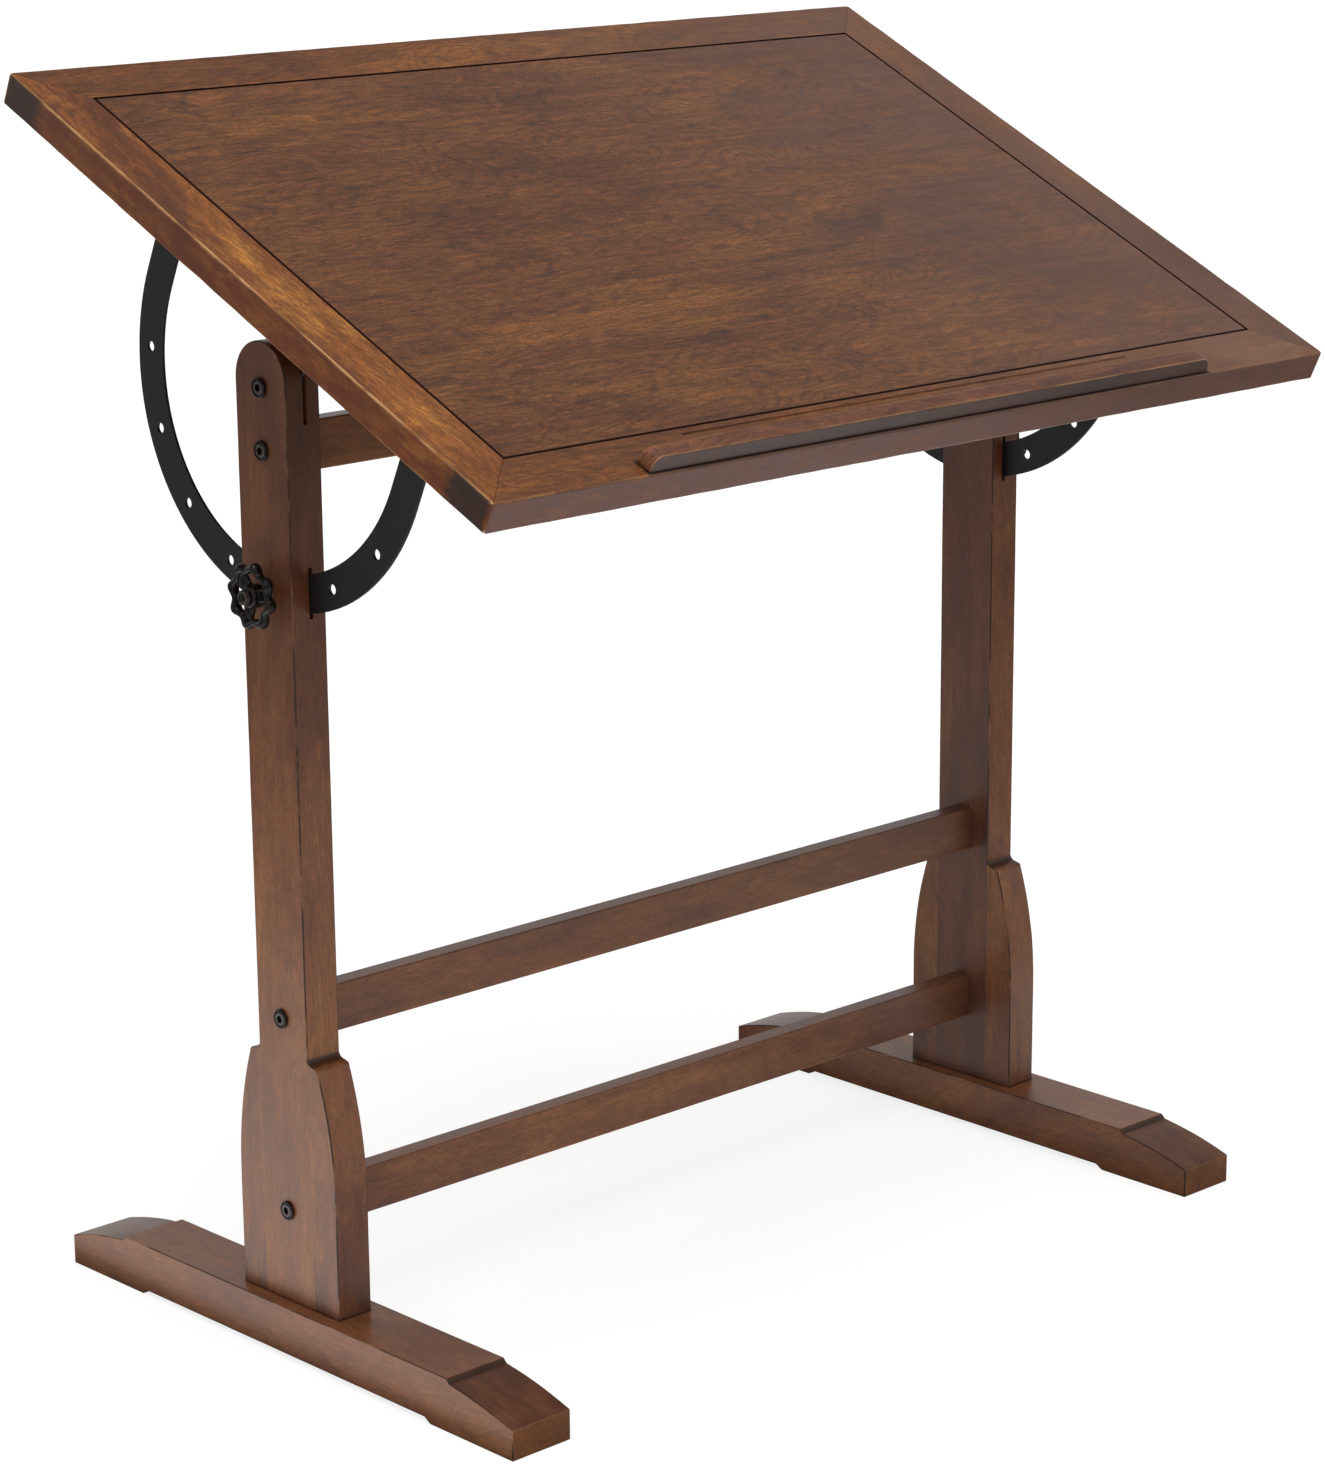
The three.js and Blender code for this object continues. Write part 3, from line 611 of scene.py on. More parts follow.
def wood(name, slot, tone, seed, grain="x", mottle=1.0, figure=1.0, wear=0.45, edge_stain=0.0, masks=()):
    """Stained and lacquered birch. masks are functions of the shader and place that give (factor, colour)."""
    shader = Shader(name, slot)
    at = grain_coordinates(shader, seed, grain)
    drift = shader.noise(at, 210, 70, 4, 0.6, 0.6)
    patch = shader.noise(at, 62, 26, 5, 0.62, 0.9)
    fibre = shader.noise(at, 13, 1.2, 4, 0.7)
    pores = shader.range(shader.noise(at, 6, 0.6, 2, 0.5), 0.6, 0.74)
    colour = stained(shader, at, tone, drift, patch, mottle)
    colour = figured(shader, at, colour, tone, fibre, figure)
    colour = shader.mix(shader.times(pores, 0.4), colour, tone.patch)
    edge = shader.attribute("arris")
    # the arris is lightened for wear and as a painted highlight along its rounding
    rubbed = shader.range(patch, 0.35, 0.6, 0.05, wear)
    colour = shader.mix(shader.times(edge, rubbed), colour, WORN_EDGE_AND_HIGHLIGHT)
    lodged = shader.range(patch, 0.62, 0.5, 0.1 * edge_stain, edge_stain)
    dark_line = shader.times(shader.math("POWER", edge, 0.4), lodged)
    colour = shader.mix(dark_line, colour, DARK_STAIN_AND_SHADE)
    # painted shade in the creases and contact lines that the outlines mark
    colour = shader.mix(shader.times(shader.attribute("stain"), 0.9), colour, DARK_STAIN_AND_SHADE)
    for mask in masks:
        factor, stain = mask(shader, at)
        colour = shader.mix(factor, colour, stain)
    roughness = shader.range(shader.math("ADD", drift, fibre), 0.7, 1.3, 0.34, 0.5)
    roughness = shader.math("ADD", roughness, shader.times(dark_line, 0.4))
    peel = shader.noise(at, 14, 9, 2, 0.5)
    normal = shader.bump((peel, 0.05), (fibre, 0.04), (pores, -0.03))
    lacquer = {"coat": 0.15, "coat_roughness": 0.3, "specular": 0.4}
    return shader.finish(colour=colour, roughness=roughness, normal=normal, **lacquer)


def stand_wood(name, grain, seed, masks):
    shown = {"mottle": 0.8, "figure": 0.6, "wear": 0.2, "edge_stain": 1.0}
    return wood(f"{name}_wood", "stained_wood", STAND_TONE, seed, grain, masks=masks, **shown)


def black_steel():
    """Matte black powder coat with a fine orange peel."""
    shader = Shader("powder_coated_steel", "black_steel")
    at = grain_coordinates(shader, SEEDS["steel"])
    cloud = shader.noise(at, 40, 40)
    peel = shader.noise(at, 0.7, 0.7, 2)
    colour = shader.ramp(cloud, (0.3, srgb(5, 5, 6)), (0.7, srgb(11, 11, 13)))
    colour = shader.mix(shader.times(shader.attribute("arris"), 0.3), colour, srgb(70, 70, 76))
    roughness = shader.range(cloud, 0.3, 0.7, 0.42, 0.56)
    return shader.finish(colour=colour, roughness=roughness, normal=shader.bump((peel, 0.03)), specular=0.4)


def black_oxide():
    """Black oxide with turning marks, rubbed to grey on the raised faces."""
    shader = Shader("black_oxide", "black_bolt")
    at = grain_coordinates(shader, SEEDS["oxide"])
    cloud = shader.noise(at, 3, 3, 4)
    marks = shader.noise(at, 0.3, 0.3, 2)
    colour = shader.ramp(cloud, (0.35, srgb(20, 18, 19)), (0.75, srgb(40, 36, 36)))
    colour = shader.mix(shader.times(shader.attribute("arris"), 0.8), colour, srgb(92, 82, 79))
    roughness = shader.range(cloud, 0.3, 0.7, 0.34, 0.5)
    return shader.finish(colour=colour, roughness=roughness, normal=shader.bump((marks, 0.01)), metallic=0.7)


def cast_bronze():
    """Dark bronze casting: grainy skin, brown on its raised edges, as handling wear and as a painted
    highlight.
    """
    shader = Shader("cast_bronze", "cast_metal")
    grains = shader.noise(grain_coordinates(shader, SEEDS["bronze"]), 1.6, 1.6)
    raised = shader.node("NewGeometry").outputs["Pointiness"]
    worn_and_highlit = shader.range(shader.math("ADD", raised, shader.times(grains, 0.06)), 0.54, 0.62)
    colour = shader.mix(worn_and_highlit, srgb(20, 17, 17), srgb(92, 80, 76))
    roughness = shader.range(grains, 0.3, 0.7, 0.26, 0.42)
    return shader.finish(colour=colour, roughness=roughness, normal=shader.bump((grains, 0.08)), metallic=0.6)


def zinc_plate():
    """Zinc plate with a faint spangle."""
    shader = Shader("zinc_plate", "zinc_steel")
    spangle = shader.noise(grain_coordinates(shader, SEEDS["zinc"]), 1.2, 1.2)
    colour = shader.ramp(spangle, (0.3, srgb(150, 148, 140)), (0.7, srgb(190, 188, 180)))
    roughness = shader.range(spangle, 0.3, 0.7, 0.28, 0.45)
    normal = shader.bump((spangle, 0.01))
    return shader.finish(colour=colour, roughness=roughness, normal=normal, metallic=0.95)


STEEL = black_steel()
OXIDE = black_oxide()
BRONZE = cast_bronze()
ZINC = zinc_plate()

# ---- stains, painted shade and painted sheen that the wood's materials are masked with ----

# the colour grows from a start, over a reach, towards +X (1) or -X (-1)
Fade = namedtuple("Fade", "start reach toward strength colour", defaults=(MUTED_SHEEN,))


def fading(shader, at, fade):
    """The colour changes towards one end of the board. On the table top's boards it is a painted sheen
    towards the table's right.
    """
    along = shader.times(shader.place()["X"], fade.toward)
    grown = shader.range(along, fade.start, fade.start + fade.reach, 0, fade.strength)
    return shader.times(grown, shader.patchy(at, 90, 60, 3, 0.6, 1.2)), fade.colour


def inner_face_shade(shader, at):
    """Painted shade: the inner faces of the posts, shaded under the table, are painted purple-brown,
    unevenly.
    """
    inner = shader.range(shader.facing()["X"], -0.5, -0.9)
    return shader.times(inner, shader.patchy(at, 110, 20, 4, 0.22, 0.58)), PURPLE_BROWN


def darker_towards_head(shader, at, bottom, top):
    """The posts grow darker and redder towards their heads."""
    rise = shader.range(shader.place()["Z"], bottom, top, 0, 0.55)
    return shader.times(rise, shader.patchy(at, 120, 16, 3, 0.6, 1.2)), RED_BROWN


def painted_head_shadow(shader, _, bottom, top):
    """Painted shadow: the front and back of the head, which the table top shades, are painted darker."""
    facing = shader.range(shader.math("ABSOLUTE", shader.facing()["Y"]), 0.6, 0.9)
    rise = shader.range(shader.place()["Z"], bottom, top, 0, 0.42)
    return shader.times(facing, rise), DARK_STAIN_AND_SHADE


def damp_stain(shader, at, bottom, top):
    """Purple-brown staining that rises unevenly from the foot of a board."""
    rise = shader.range(shader.place()["Z"], bottom, top, 0.78, 0)
    return shader.times(rise, shader.patchy(at, 70, 14, 4, 0.2, 1.0, (0.4, 0.62))), PURPLE_BROWN


def toe_stain(shader, at, start):
    """The sloping tops of the toes are redder and darker."""
    on_toe = shader.math("GREATER_THAN", shader.math("ABSOLUTE", shader.place()["Y"]), start)
    top_only = shader.range(shader.facing()["Z"], 0.5, 0.75)
    uneven = shader.patchy(at, 30, 12, 4, 0.45, 0.85)
    return shader.times(shader.times(on_toe, top_only), uneven), RED_BROWN


def beyond(shader, half_x, half_y, middle_y):
    """How far a place is outside a rectangle, seen from above."""
    place = shader.place()
    across = shader.math("SUBTRACT", place["Y"], middle_y)
    past_x = shader.math("SUBTRACT", shader.math("ABSOLUTE", place["X"]), half_x)
    past_y = shader.math("SUBTRACT", shader.math("ABSOLUTE", across), half_y)
    return shader.math("MAXIMUM", past_x, past_y)


def painted_contact_shadow(shader, _, footprint, line, strength, above):
    """A painted contact shadow: a dark line round the footprint of a piece that stands on this one. It fades
    between two distances.
    """
    near = shader.range(beyond(shader, *footprint), *line, strength, 0)
    return shader.times(near, shader.math("GREATER_THAN", shader.place()["Z"], above)), DARK_STAIN_AND_SHADE


def inlay_stain(shader, _, face):
    """Darkens the groove around the panel's face."""
    return shader.math("GREATER_THAN", beyond(shader, *face), 0), INLAY_STAIN


def inner_edge_stain(shader, _, width):
    """The border's inner edge, which is the outer wall of the inlay groove, is dark."""
    return shader.math("GREATER_THAN", shader.place()["Y"], width - WALL_BAND), INLAY_STAIN


def side_stain_and_sheen(shader, at, colour):
    """The border's outer side differs from its face, unevenly: more staining on the left and right boards,
    and a painted grey sheen on the front and back.
    """
    on_side = shader.range(shader.place()["Y"], 0.2, 1.2, 1, 0)
    return shader.times(on_side, shader.patchy(at, 34, 9, 5, 0.35, 0.9, (0.38, 0.62))), colour


# lengths along the border: how far the edge wanders, how soft it is, and where the corner is clear
SOAKED = {"ragged": 30.0, "soft": 6.0, "corner": (5.0, 2.0)}


def end_stain(shader, at, half_length, reach):
    """Stain that soaked into the border's outer side near both corners, with a ragged edge."""
    place = shader.place()
    along = shader.math("ABSOLUTE", place["X"])
    ragged = shader.times(shader.math("SUBTRACT", shader.noise(at, 16, 5, 4), 0.5), SOAKED["ragged"])
    start = half_length - reach
    near_end = shader.range(shader.math("ADD", along, ragged), start - SOAKED["soft"], start + SOAKED["soft"])
    corner = [half_length - inset for inset in SOAKED["corner"]]
    before_corner = shader.range(along, *corner, 1, 0.15)
    on_side = shader.range(place["Y"], 0.4, 1.6, 1, 0)
    factor = shader.times(shader.times(near_end, on_side), before_corner)
    return shader.times(factor, 0.85), DARK_STAIN_AND_SHADE


def ledge_front_stain_and_sheen(shader, _):
    """The ledge's front face is painted blue-grey: its own staining, with a painted sheen."""
    return shader.range(shader.facing()["Y"], -0.6, -0.9, 0, 0.75), BLUE_BROWN


# ---- stand ----

HEAD_DARKENING_START = 470.0
HEAD_SHADOW = (190.0, 60.0)  # how far below the head the painted shadow of the table top starts, and is full
DAMP_REACH = 130.0
# heights on the post's edge, from the wings' tops: where it is hidden, where the crease's painted shade lies,
# and where it is clear
SHOULDER_LINE = {"hidden": -4.0, "stained": -1.0, "clear": 2.0}
SCREW_ROOM = 4.0  # how far above the face of a foot screw's head its hole ends


def build_post(side):
    node = f"{side}_post"
    place = side_place(side)
    low, high = extents(node, place)
    half = high.y
    shoulder = extents(f"{side}_back_wing", place)[1].z
    foot = [
        Corner(half, low.z, ease=0),
        Corner(half, shoulder + SHOULDER_LINE["hidden"], ease=0),
        Corner(half, shoulder + SHOULDER_LINE["stained"], stain=0.9),
        Corner(half, shoulder + SHOULDER_LINE["clear"]),
    ]
    corners = foot + sweep((0, high.z - half), half, 0, 180, 36) + mirrored(foot)
    solid = board(trace(corners), low.x, high.x, WOOD_ARRIS, seed=side_seed(side, "post"))
    kerf_low, kerf_high = KERF["x"] - KERF["width"] / 2, KERF["x"] + KERF["width"] / 2
    front, back = -half - PAST, half + PAST
    start, end = low.x - PAST, high.x + PAST
    pivot_insert, clamp_insert = (extents(f"{side}_{name}_insert", place)[1] for name in ("pivot", "clamp"))
    wide = (pivot_insert.y + HOLE_GAP, start, pivot_insert.x + HOLE_GAP)
    narrow = (BOLT["pivot_shank"] + HOLE_GAP, pivot_insert.x + HOLE_GAP, end)
    cuts = [
        block((kerf_low, front, KERF["head_bottom"]), (kerf_high, back, high.z + PAST)),
        block((kerf_low, front, KERF["slot_bottom"]), (kerf_high, back, KERF["slot_top"])),
        drill([wide, narrow], (0, 0, PIVOT.z / MM)),
        drill([(clamp_insert.y + HOLE_GAP, KERF["x"], end)], (0, 0, CLAMP_HEIGHT)),
    ]
    for rail in RAILS:
        rail_low, rail_high = extents(f"{rail}_rail", place)
        cuts.append(drill([(BOLT["shank"] + HOLE_GAP, start, end)], (0, 0, (rail_low.z + rail_high.z) / 2)))
    masks = [
        inner_face_shade,
        partial(darker_towards_head, bottom=HEAD_DARKENING_START, top=high.z),
        partial(painted_head_shadow, bottom=high.z - HEAD_SHADOW[0], top=high.z - HEAD_SHADOW[1]),
    ]
    make_piece(node, solid, place, stand_wood(node, "z", side_seed(side, "post"), masks), cuts=cuts)


def build_wing(side, end):
    node = f"{side}_{end}_wing"
    seed = side_seed(side, f"{end}_wing")
    toward_back = 1 if end == "back" else -1
    place = side_place(side)
    if toward_back * SIDES[side] < 0:
        place = place @ HALF_TURN
    low, high = extents(node, place)
    glued = low.y - GLUE_LINE
    radius = WING["curve_radius"]
    turn = math.degrees(math.asin((WING["curve_top"] - WING["straight_top"]) / radius))
    # painted shade in the crease where the wing stands on its foot
    corners = [Corner(glued, low.z, ease=0), Corner(high.y, low.z, ease=0.4, stain=0.9)]
    corners.append(Corner(high.y, low.z + WING_FULL_EASE))
    corners += sweep((high.y - radius, WING["straight_top"]), radius, 0, turn, 16)
    end_of_curve = (corners[-1].u, corners[-1].v)
    corners += curve(end_of_curve, WING_LEDGE["tip"], WING_LEDGE["outer"], 4, ease=0.6)
    # painted shade on the small ledge where the wing meets the post
    corners += curve(WING_LEDGE["outer"], WING_LEDGE["inner"], WING_LEDGE["inner"], 2, ease=0.6, stain=0.75)
    corners += curve(WING_LEDGE["inner"], WING_LEDGE["cove"], (glued, high.z), 4, ease=0.6, stain=0.9)
    corners.append(Corner(glued, high.z - WING_FLUSH, ease=0))
    solid = board(trace(corners), low.x, high.x, WOOD_ARRIS, seed=seed)
    damp = partial(damp_stain, bottom=low.z, top=low.z + DAMP_REACH)
    make_piece(node, solid, place, stand_wood(node, "z", seed, [damp]))


def build_foot(side):
    node = f"{side}_foot"
    seed = side_seed(side, "foot")
    place = side_place(side)
    low, high = extents(node, place)
    toe_start = FOOT["step_half"] + FOOT["step"]
    toe_top = high.z - FOOT["step"]
    toe_middle = ((high.y + toe_start) / 2, toe_top - FOOT["toe_hollow"])
    toe_end = (high.y, FOOT["end_height"])
    half = [
        Corner(FOOT_RELIEF["half"] + FOOT_RELIEF["run"], 0),
        Corner(high.y, 0, FOOT["end_radius"]),
        Corner(*toe_end, FOOT["end_radius"]),
        *curve(toe_end, toe_middle, (toe_start, toe_top), 12)[:-1],
        # painted shade in the crease of the step
        Corner(toe_start + FOOT_STEP["foot"][0], toe_top - FOOT_STEP["foot"][1], ease=0.8, stain=0.5),
        Corner(toe_start, toe_top, ease=0.5, stain=1.0),
        Corner(FOOT["step_half"] + FOOT_STEP["lip"][0], high.z - FOOT_STEP["lip"][1], ease=0.6, stain=0.8),
        Corner(FOOT["step_half"], high.z, ease=0.8),
    ]
    relief = [Corner(toward * FOOT_RELIEF["half"], FOOT_RELIEF["height"]) for toward in (-1, 1)]
    solid = board(trace(relief + half + mirrored(half)), low.x, high.x, WOOD_ARRIS, seed=seed)
    cuts = []
    for end in ENDS:
        screw_low, screw_high = extents(f"{side}_{end}_foot_screw", place)
        hole = ((screw_high.y - screw_low.y) / 2 + HOLE_GAP, -PAST, screw_low.z + SCREW_ROOM)
        cuts.append(drill([hole], (0, (screw_low.y + screw_high.y) / 2, 0), axis="z", sides=32))
    wing_highs = [extents(f"{side}_{end}_wing", place)[1] for end in ENDS]
    footprint = (wing_highs[0].x, max(corner.y for corner in wing_highs), 0.0)
    # a painted contact shadow round the wings' footprint on the foot's top
    seat_shadow = partial(painted_contact_shadow, footprint=footprint, line=(0, 2.6), strength=0.85, above=high.z - 1)
    masks = [partial(toe_stain, start=toe_start), seat_shadow]
    make_piece(node, solid, place, stand_wood(node, "y", seed, masks), cuts=cuts)


def build_rail(name):
    node = f"{name}_rail"
    low, high = extents(node, RAIL_PLACE)
    solid = board(trace(rectangle(low.yz, high.yz, RAIL_RADIUS, ease=0)), low.x, high.x, 0)
    fade_start = -high.x if name == "top" else 0
    darker_end = partial(fading, fade=Fade(fade_start, high.x, 1, 0.5, PURPLE_BROWN))
    make_piece(node, solid, RAIL_PLACE, stand_wood(node, "x", SEEDS[node], [darker_end]))


# ---- table top ----

# the tone, the outer side's colour, the fade, which is a painted sheen towards the table's right, and whether
# the board is worn, its arris lightened partly as a painted highlight, and its ends are dark
Border = namedtuple("Border", "tone side_colour fade worn")
BORDERS = {
    "front": Border(BORDER_TONE, GREY_BROWN_SHEEN, Fade(-60, 500, 1, 0.55, PALE_SHEEN), False),
    "back": Border(BORDER_TONE, GREY_BROWN_SHEEN, Fade(-60, 420, -1, 0.5), False),
    "left": Border(SIDE_BORDER_TONE, CHESTNUT, None, True),
    "right": Border(BORDER_TONE, RED_BROWN, Fade(-400, 50, 1, 0.45), True),
}
# a painted sheen: the panel is painted greyer towards the table's right
PANEL_SHEEN = Fade(-60, 420, 1, 0.42)


def build_panel():
    node = "top_panel"
    low, high = extents(node, TOP_PLACE)
    groove_floor = high.z - INLAY["depth"]
    face_inset = INLAY["width"] + INLAY["chamfer"]
    rings = [
        (0, low.z),
        (0, groove_floor),
        (INLAY["width"] - INLAY["wall_slope"], groove_floor - INLAY["floor_slope"]),
        (INLAY["width"], high.z - INLAY["chamfer"]),
        (face_inset, high.z),
    ]
    loops = []
    for inset, z in rings:
        ring = rectangle((low.x + inset, low.y + inset), (high.x - inset, high.y - inset))
        loops.append([Vector((corner.u, corner.v, z)) for corner in ring])
    face = (high.x - face_inset, (high.y - low.y) / 2 - face_inset, (low.y + high.y) / 2)
    masks = [partial(fading, fade=PANEL_SHEEN), partial(inlay_stain, face=face)]
    material = wood("panel_veneer", "veneer_panel", PANEL_TONE, SEEDS["panel"], figure=1.05, masks=masks)
    make_piece(node, skin(loops), TOP_PLACE, material)


def border_place(name):
    """The place of a border board, with its outer edge on y = 0 and the board running along X."""
    low, high = extents(f"{name}_border", TOP_PLACE)
    middle = (low + high) / 2
    spots = {
        "front": (middle.x, low.y, 0),
        "right": (high.x, middle.y, 90),
        "back": (middle.x, high.y, 180),
        "left": (low.x, middle.y, -90),
    }
    x, y, turn = spots[name]
    return TOP_PLACE @ Matrix.Translation((x * MM, y * MM, 0)) @ Matrix.Rotation(math.radians(turn), 4, "Z")


def border_outline(half, width):
    """A board with mitred ends, which meet the next board half way round the top's corner."""
    steps = 4
    end = sweep((half - TOP_CORNER, TOP_CORNER), TOP_CORNER, -90, -45, steps)
    end = [corner._replace(u=corner.u - MITRE_GAP * k / steps) for k, corner in enumerate(end)]
    inner_half = half - width - MITRE_GAP
    return mirrored(end) + end + [Corner(inner_half, width, ease=0), Corner(-inner_half, width, ease=0)]


def build_border(name):
    node = f"{name}_border"
    border = BORDERS[name]
    place = border_place(name)
    low, high = extents(node, place)
    outline = trace(border_outline(high.x, high.y), spacing=8.0)
    solid = board(outline, low.z, high.z, TOP_ARRIS, plane="xy", seed=SEEDS[node], wobble=0.35, steps=5)
    masks = [partial(fading, fade=border.fade)] if border.fade else []
    masks.append(partial(side_stain_and_sheen, colour=border.side_colour))
    masks.append(partial(inner_edge_stain, width=high.y))
    cuts = []
    if border.worn:
        masks.append(partial(end_stain, half_length=high.x, reach=high.y))
    if name == "front":
        # a painted contact shadow round the pencil ledge
        masks.append(ledge_contact_shadow(place))
        cuts.append(pencil_groove(high.z))
    # the worn borders' arrises are lighter, partly as a painted highlight
    wear = 1.4 if border.worn else 0.4
    material = wood(f"{node}_wood", "border_wood", border.tone, SEEDS[node], wear=wear, masks=masks)
    make_piece(node, solid, place, material, cuts=cuts)


def ledge_contact_shadow(place):
    """The painted contact shadow on the front border around the pencil ledge."""
    low, high = extents("pencil_ledge", place)
    footprint = (high.x, (high.y - low.y) / 2, (low.y + high.y) / 2)
    return partial(painted_contact_shadow, footprint=footprint, line=(1.2, 3.2), strength=0.93, above=low.z - 2)


def pencil_groove(surface):
    """A cutter for the long pencil groove: a round-bottomed slot with round ends."""
    radius = PENCIL_GROOVE["radius"]
    half = PENCIL_GROOVE["length"] / 2 - radius
    loops = [capsule(half, radius, surface + PAST), capsule(half, radius, surface)]
    for share in (0.97, 0.85, 0.6, 0.3):
        depth = PENCIL_GROOVE["depth"] * math.sqrt(1 - (share * PENCIL_GROOVE["roundness"]) ** 2)
        loops.append(capsule(half, radius * share, surface - depth))
    return skin(loops)


def capsule(half, radius, z):
    """A loop at one height, round both ends of the pencil groove."""
    y = PENCIL_GROOVE["from_edge"]
    right = arc((half, y), (radius, radius), -90, 90, 12)
    left = arc((-half, y), (radius, radius), 90, 270, 12)
    return [Vector((*point, z)) for point in right + left]


def build_ledge():
    node = "pencil_ledge"
    low, high = extents(node, TOP_PLACE)
    seed = SEEDS["ledge"]
    rounding = arc((high.x - LEDGE_END, low.z), (LEDGE_END, high.z - low.z), 0, 90, 10)
    end = [Corner(*point) for point in rounding[1:]]
    base = [Corner(low.x, low.z, ease=0), Corner(high.x, low.z, ease=0)]
    solid = board(trace(base + end + mirrored(end)), low.y, high.y, LEDGE_ARRIS, plane="xz", seed=seed)
    material = wood("ledge_wood", "border_wood", LEDGE_TONE, seed, wear=0.5, masks=[ledge_front_stain_and_sheen])
    make_piece(node, solid, TOP_PLACE, material)


# ---- steel under the top ----


def build_plate(node, side, corners, holes, tabs):
    """A steel plate that hangs under the table top, with tabs bent inwards along the underside.

    holes are (radius, y, z), and tabs are (y of the middle, width, radius of the far corners).
    """
    low, high = extents(node, TOP_PLACE)
    outer, tab_end = (low.x, high.x) if side == "left" else (high.x, low.x)
    inner = outer - SIDES[side] * PLATE["thickness"]
    start, end = sorted((outer, inner))
    shape = {"arris": PLATE["arris"], "wobble": 0, "steps": 2}
    solid = board(trace(corners, UNDIVIDED), start, end, **shape)
    cuts = [drill([(radius, start - PAST, end + PAST)], (0, y, z)) for radius, y, z in holes]
    joins = []
    for y, width, radius in tabs:
        overlap = inner + SIDES[side] * PLATE["overlap"]
        near, far = y - width / 2, y + width / 2
        tab = [Corner(tab_end, v, radius) for v in (near, far)] + [Corner(overlap, v) for v in (far, near)]
        joins.append(board(trace(tab, UNDIVIDED), high.z - PLATE["thickness"], high.z, plane="xy", **shape))
    make_piece(node, solid, TOP_PLACE, STEEL, cuts=cuts, joins=joins)


def build_arc(side):
    node = f"{side}_arc"
    top = extents(node, TOP_PLACE)[1].z
    radius, width = ARC["radius"], ARC["width"]
    outer, inner = radius + width / 2, radius - width / 2
    corners = [
        Corner(-outer, top),
        *sweep((0, 0), outer, 180, 360, 72),
        Corner(outer, top),
        Corner(inner, top),
        *sweep((0, 0), inner, 0, -180, 72),
        Corner(-inner, top),
    ]
    reach = ARC["step"] * (ARC["holes"] - 1) / 2
    places = arc((0, 0), (radius, radius), -90 - reach, -90 + reach, ARC["holes"] - 1)
    holes = [(ARC["hole"], *place) for place in places]
    build_plate(node, side, corners, holes, [(y, width, ARC["tab_corner"]) for y in (-radius, radius)])


def build_bracket(side):
    node = f"{side}_pivot_bracket"
    top = extents(node, TOP_PLACE)[1].z
    width = BRACKET["flange_width"]
    shoulder = [
        Corner(BRACKET["end_radius"], BRACKET["straight_top"]),
        Corner(width / 2, top - PLATE["thickness"]),
        Corner(width / 2, top),
    ]
    corners = sweep((0, 0), BRACKET["end_radius"], 180, 360, 24) + shoulder + mirrored(shoulder)
    hole = (BOLT["pivot_shank"] + HOLE_GAP, 0, 0)
    build_plate(node, side, corners, [hole], [(0, width, BRACKET["flange_corner"])])


# ---- fasteners ----


def build_bolt(node, place):
    """A flat-headed socket bolt with a stepped face, rubbed bright on its raised ring."""
    low, high = extents(node, place)
    z = (low.z + high.z) / 2
    head = BOLT["head"]
    base = high.x - BOLT["height"]
    shank = BOLT["pivot_shank"] if "pivot" in node else BOLT["shank"]
    face = [(head - inset, high.x - drop) for inset, drop in BOLT_FACE]
    socket_rim = (BOLT["socket"] + 0.5, high.x)
    profile = [
        (0, low.x),
        (shank - 0.6, low.x),
        (shank, low.x + 0.8),
        (shank, base),
        (head - 0.3, base),
        (head, base + 0.3),
        *face,
        socket_rim,
        (BOLT["socket"] + 0.1, high.x - 0.3),
        (0, high.x - 0.3),
    ]
    rubbed = [*face[-2:], socket_rim]
    wear = [1.0 if point in rubbed else 0.0 for point in profile]
    solid = moved(turned(profile, sides=48, wear=wear), (0, 0, z))
    socket = drill([(BOLT["socket"], high.x - BOLT["socket_depth"], high.x + PAST)], (0, 0, z), sides=6)
    make_piece(node, solid, place, OXIDE, cuts=[socket])


def build_insert(node, place):
    """A threaded insert: a plain ring with eased rims."""
    low, high = extents(node, place)
    outer = (high.y - low.y) / 2
    bore = outer - INSERT["wall"]
    lip = INSERT["lip"]
    near = [(bore, low.x + lip), (bore + lip, low.x), (outer - lip, low.x), (outer, low.x + lip)]
    far = [(outer, high.x - lip), (outer - lip, high.x), (bore + lip, high.x), (bore, high.x - lip)]
    make_piece(node, moved(tube(near + far), (0, (low.y + high.y) / 2, (low.z + high.z) / 2)), place, ZINC)


def build_screw(node, place):
    """A round-headed wood screw with a cross recess, pointing up."""
    low, high = extents(node, place)
    x, y = (low.x + high.x) / 2, (low.y + high.y) / 2
    head = (high.x - low.x) / 2
    shank = head * SCREW["shank"]
    head_top = low.z + head * SCREW["height"]
    profile = arc((0, head_top), (head, head_top - low.z), -90, 0, 6)
    profile += [(shank, head_top), (shank, high.z - SCREW_POINT), (0, high.z)]
    solid = moved(turned(profile, axis="z", sides=32), (x, y, 0))
    arm, slot = head * SCREW["slot_length"], head * SCREW["slot_width"]
    cuts = []
    for half_x, half_y in ((arm, slot), (slot, arm)):
        bottom, top = low.z - PAST, (low.z + head_top) / 2
        cuts.append(block((x - half_x, y - half_y, bottom), (x + half_x, y + half_y, top)))
    make_piece(node, solid, place, ZINC, cuts=cuts)


# ---- handwheel lock ----

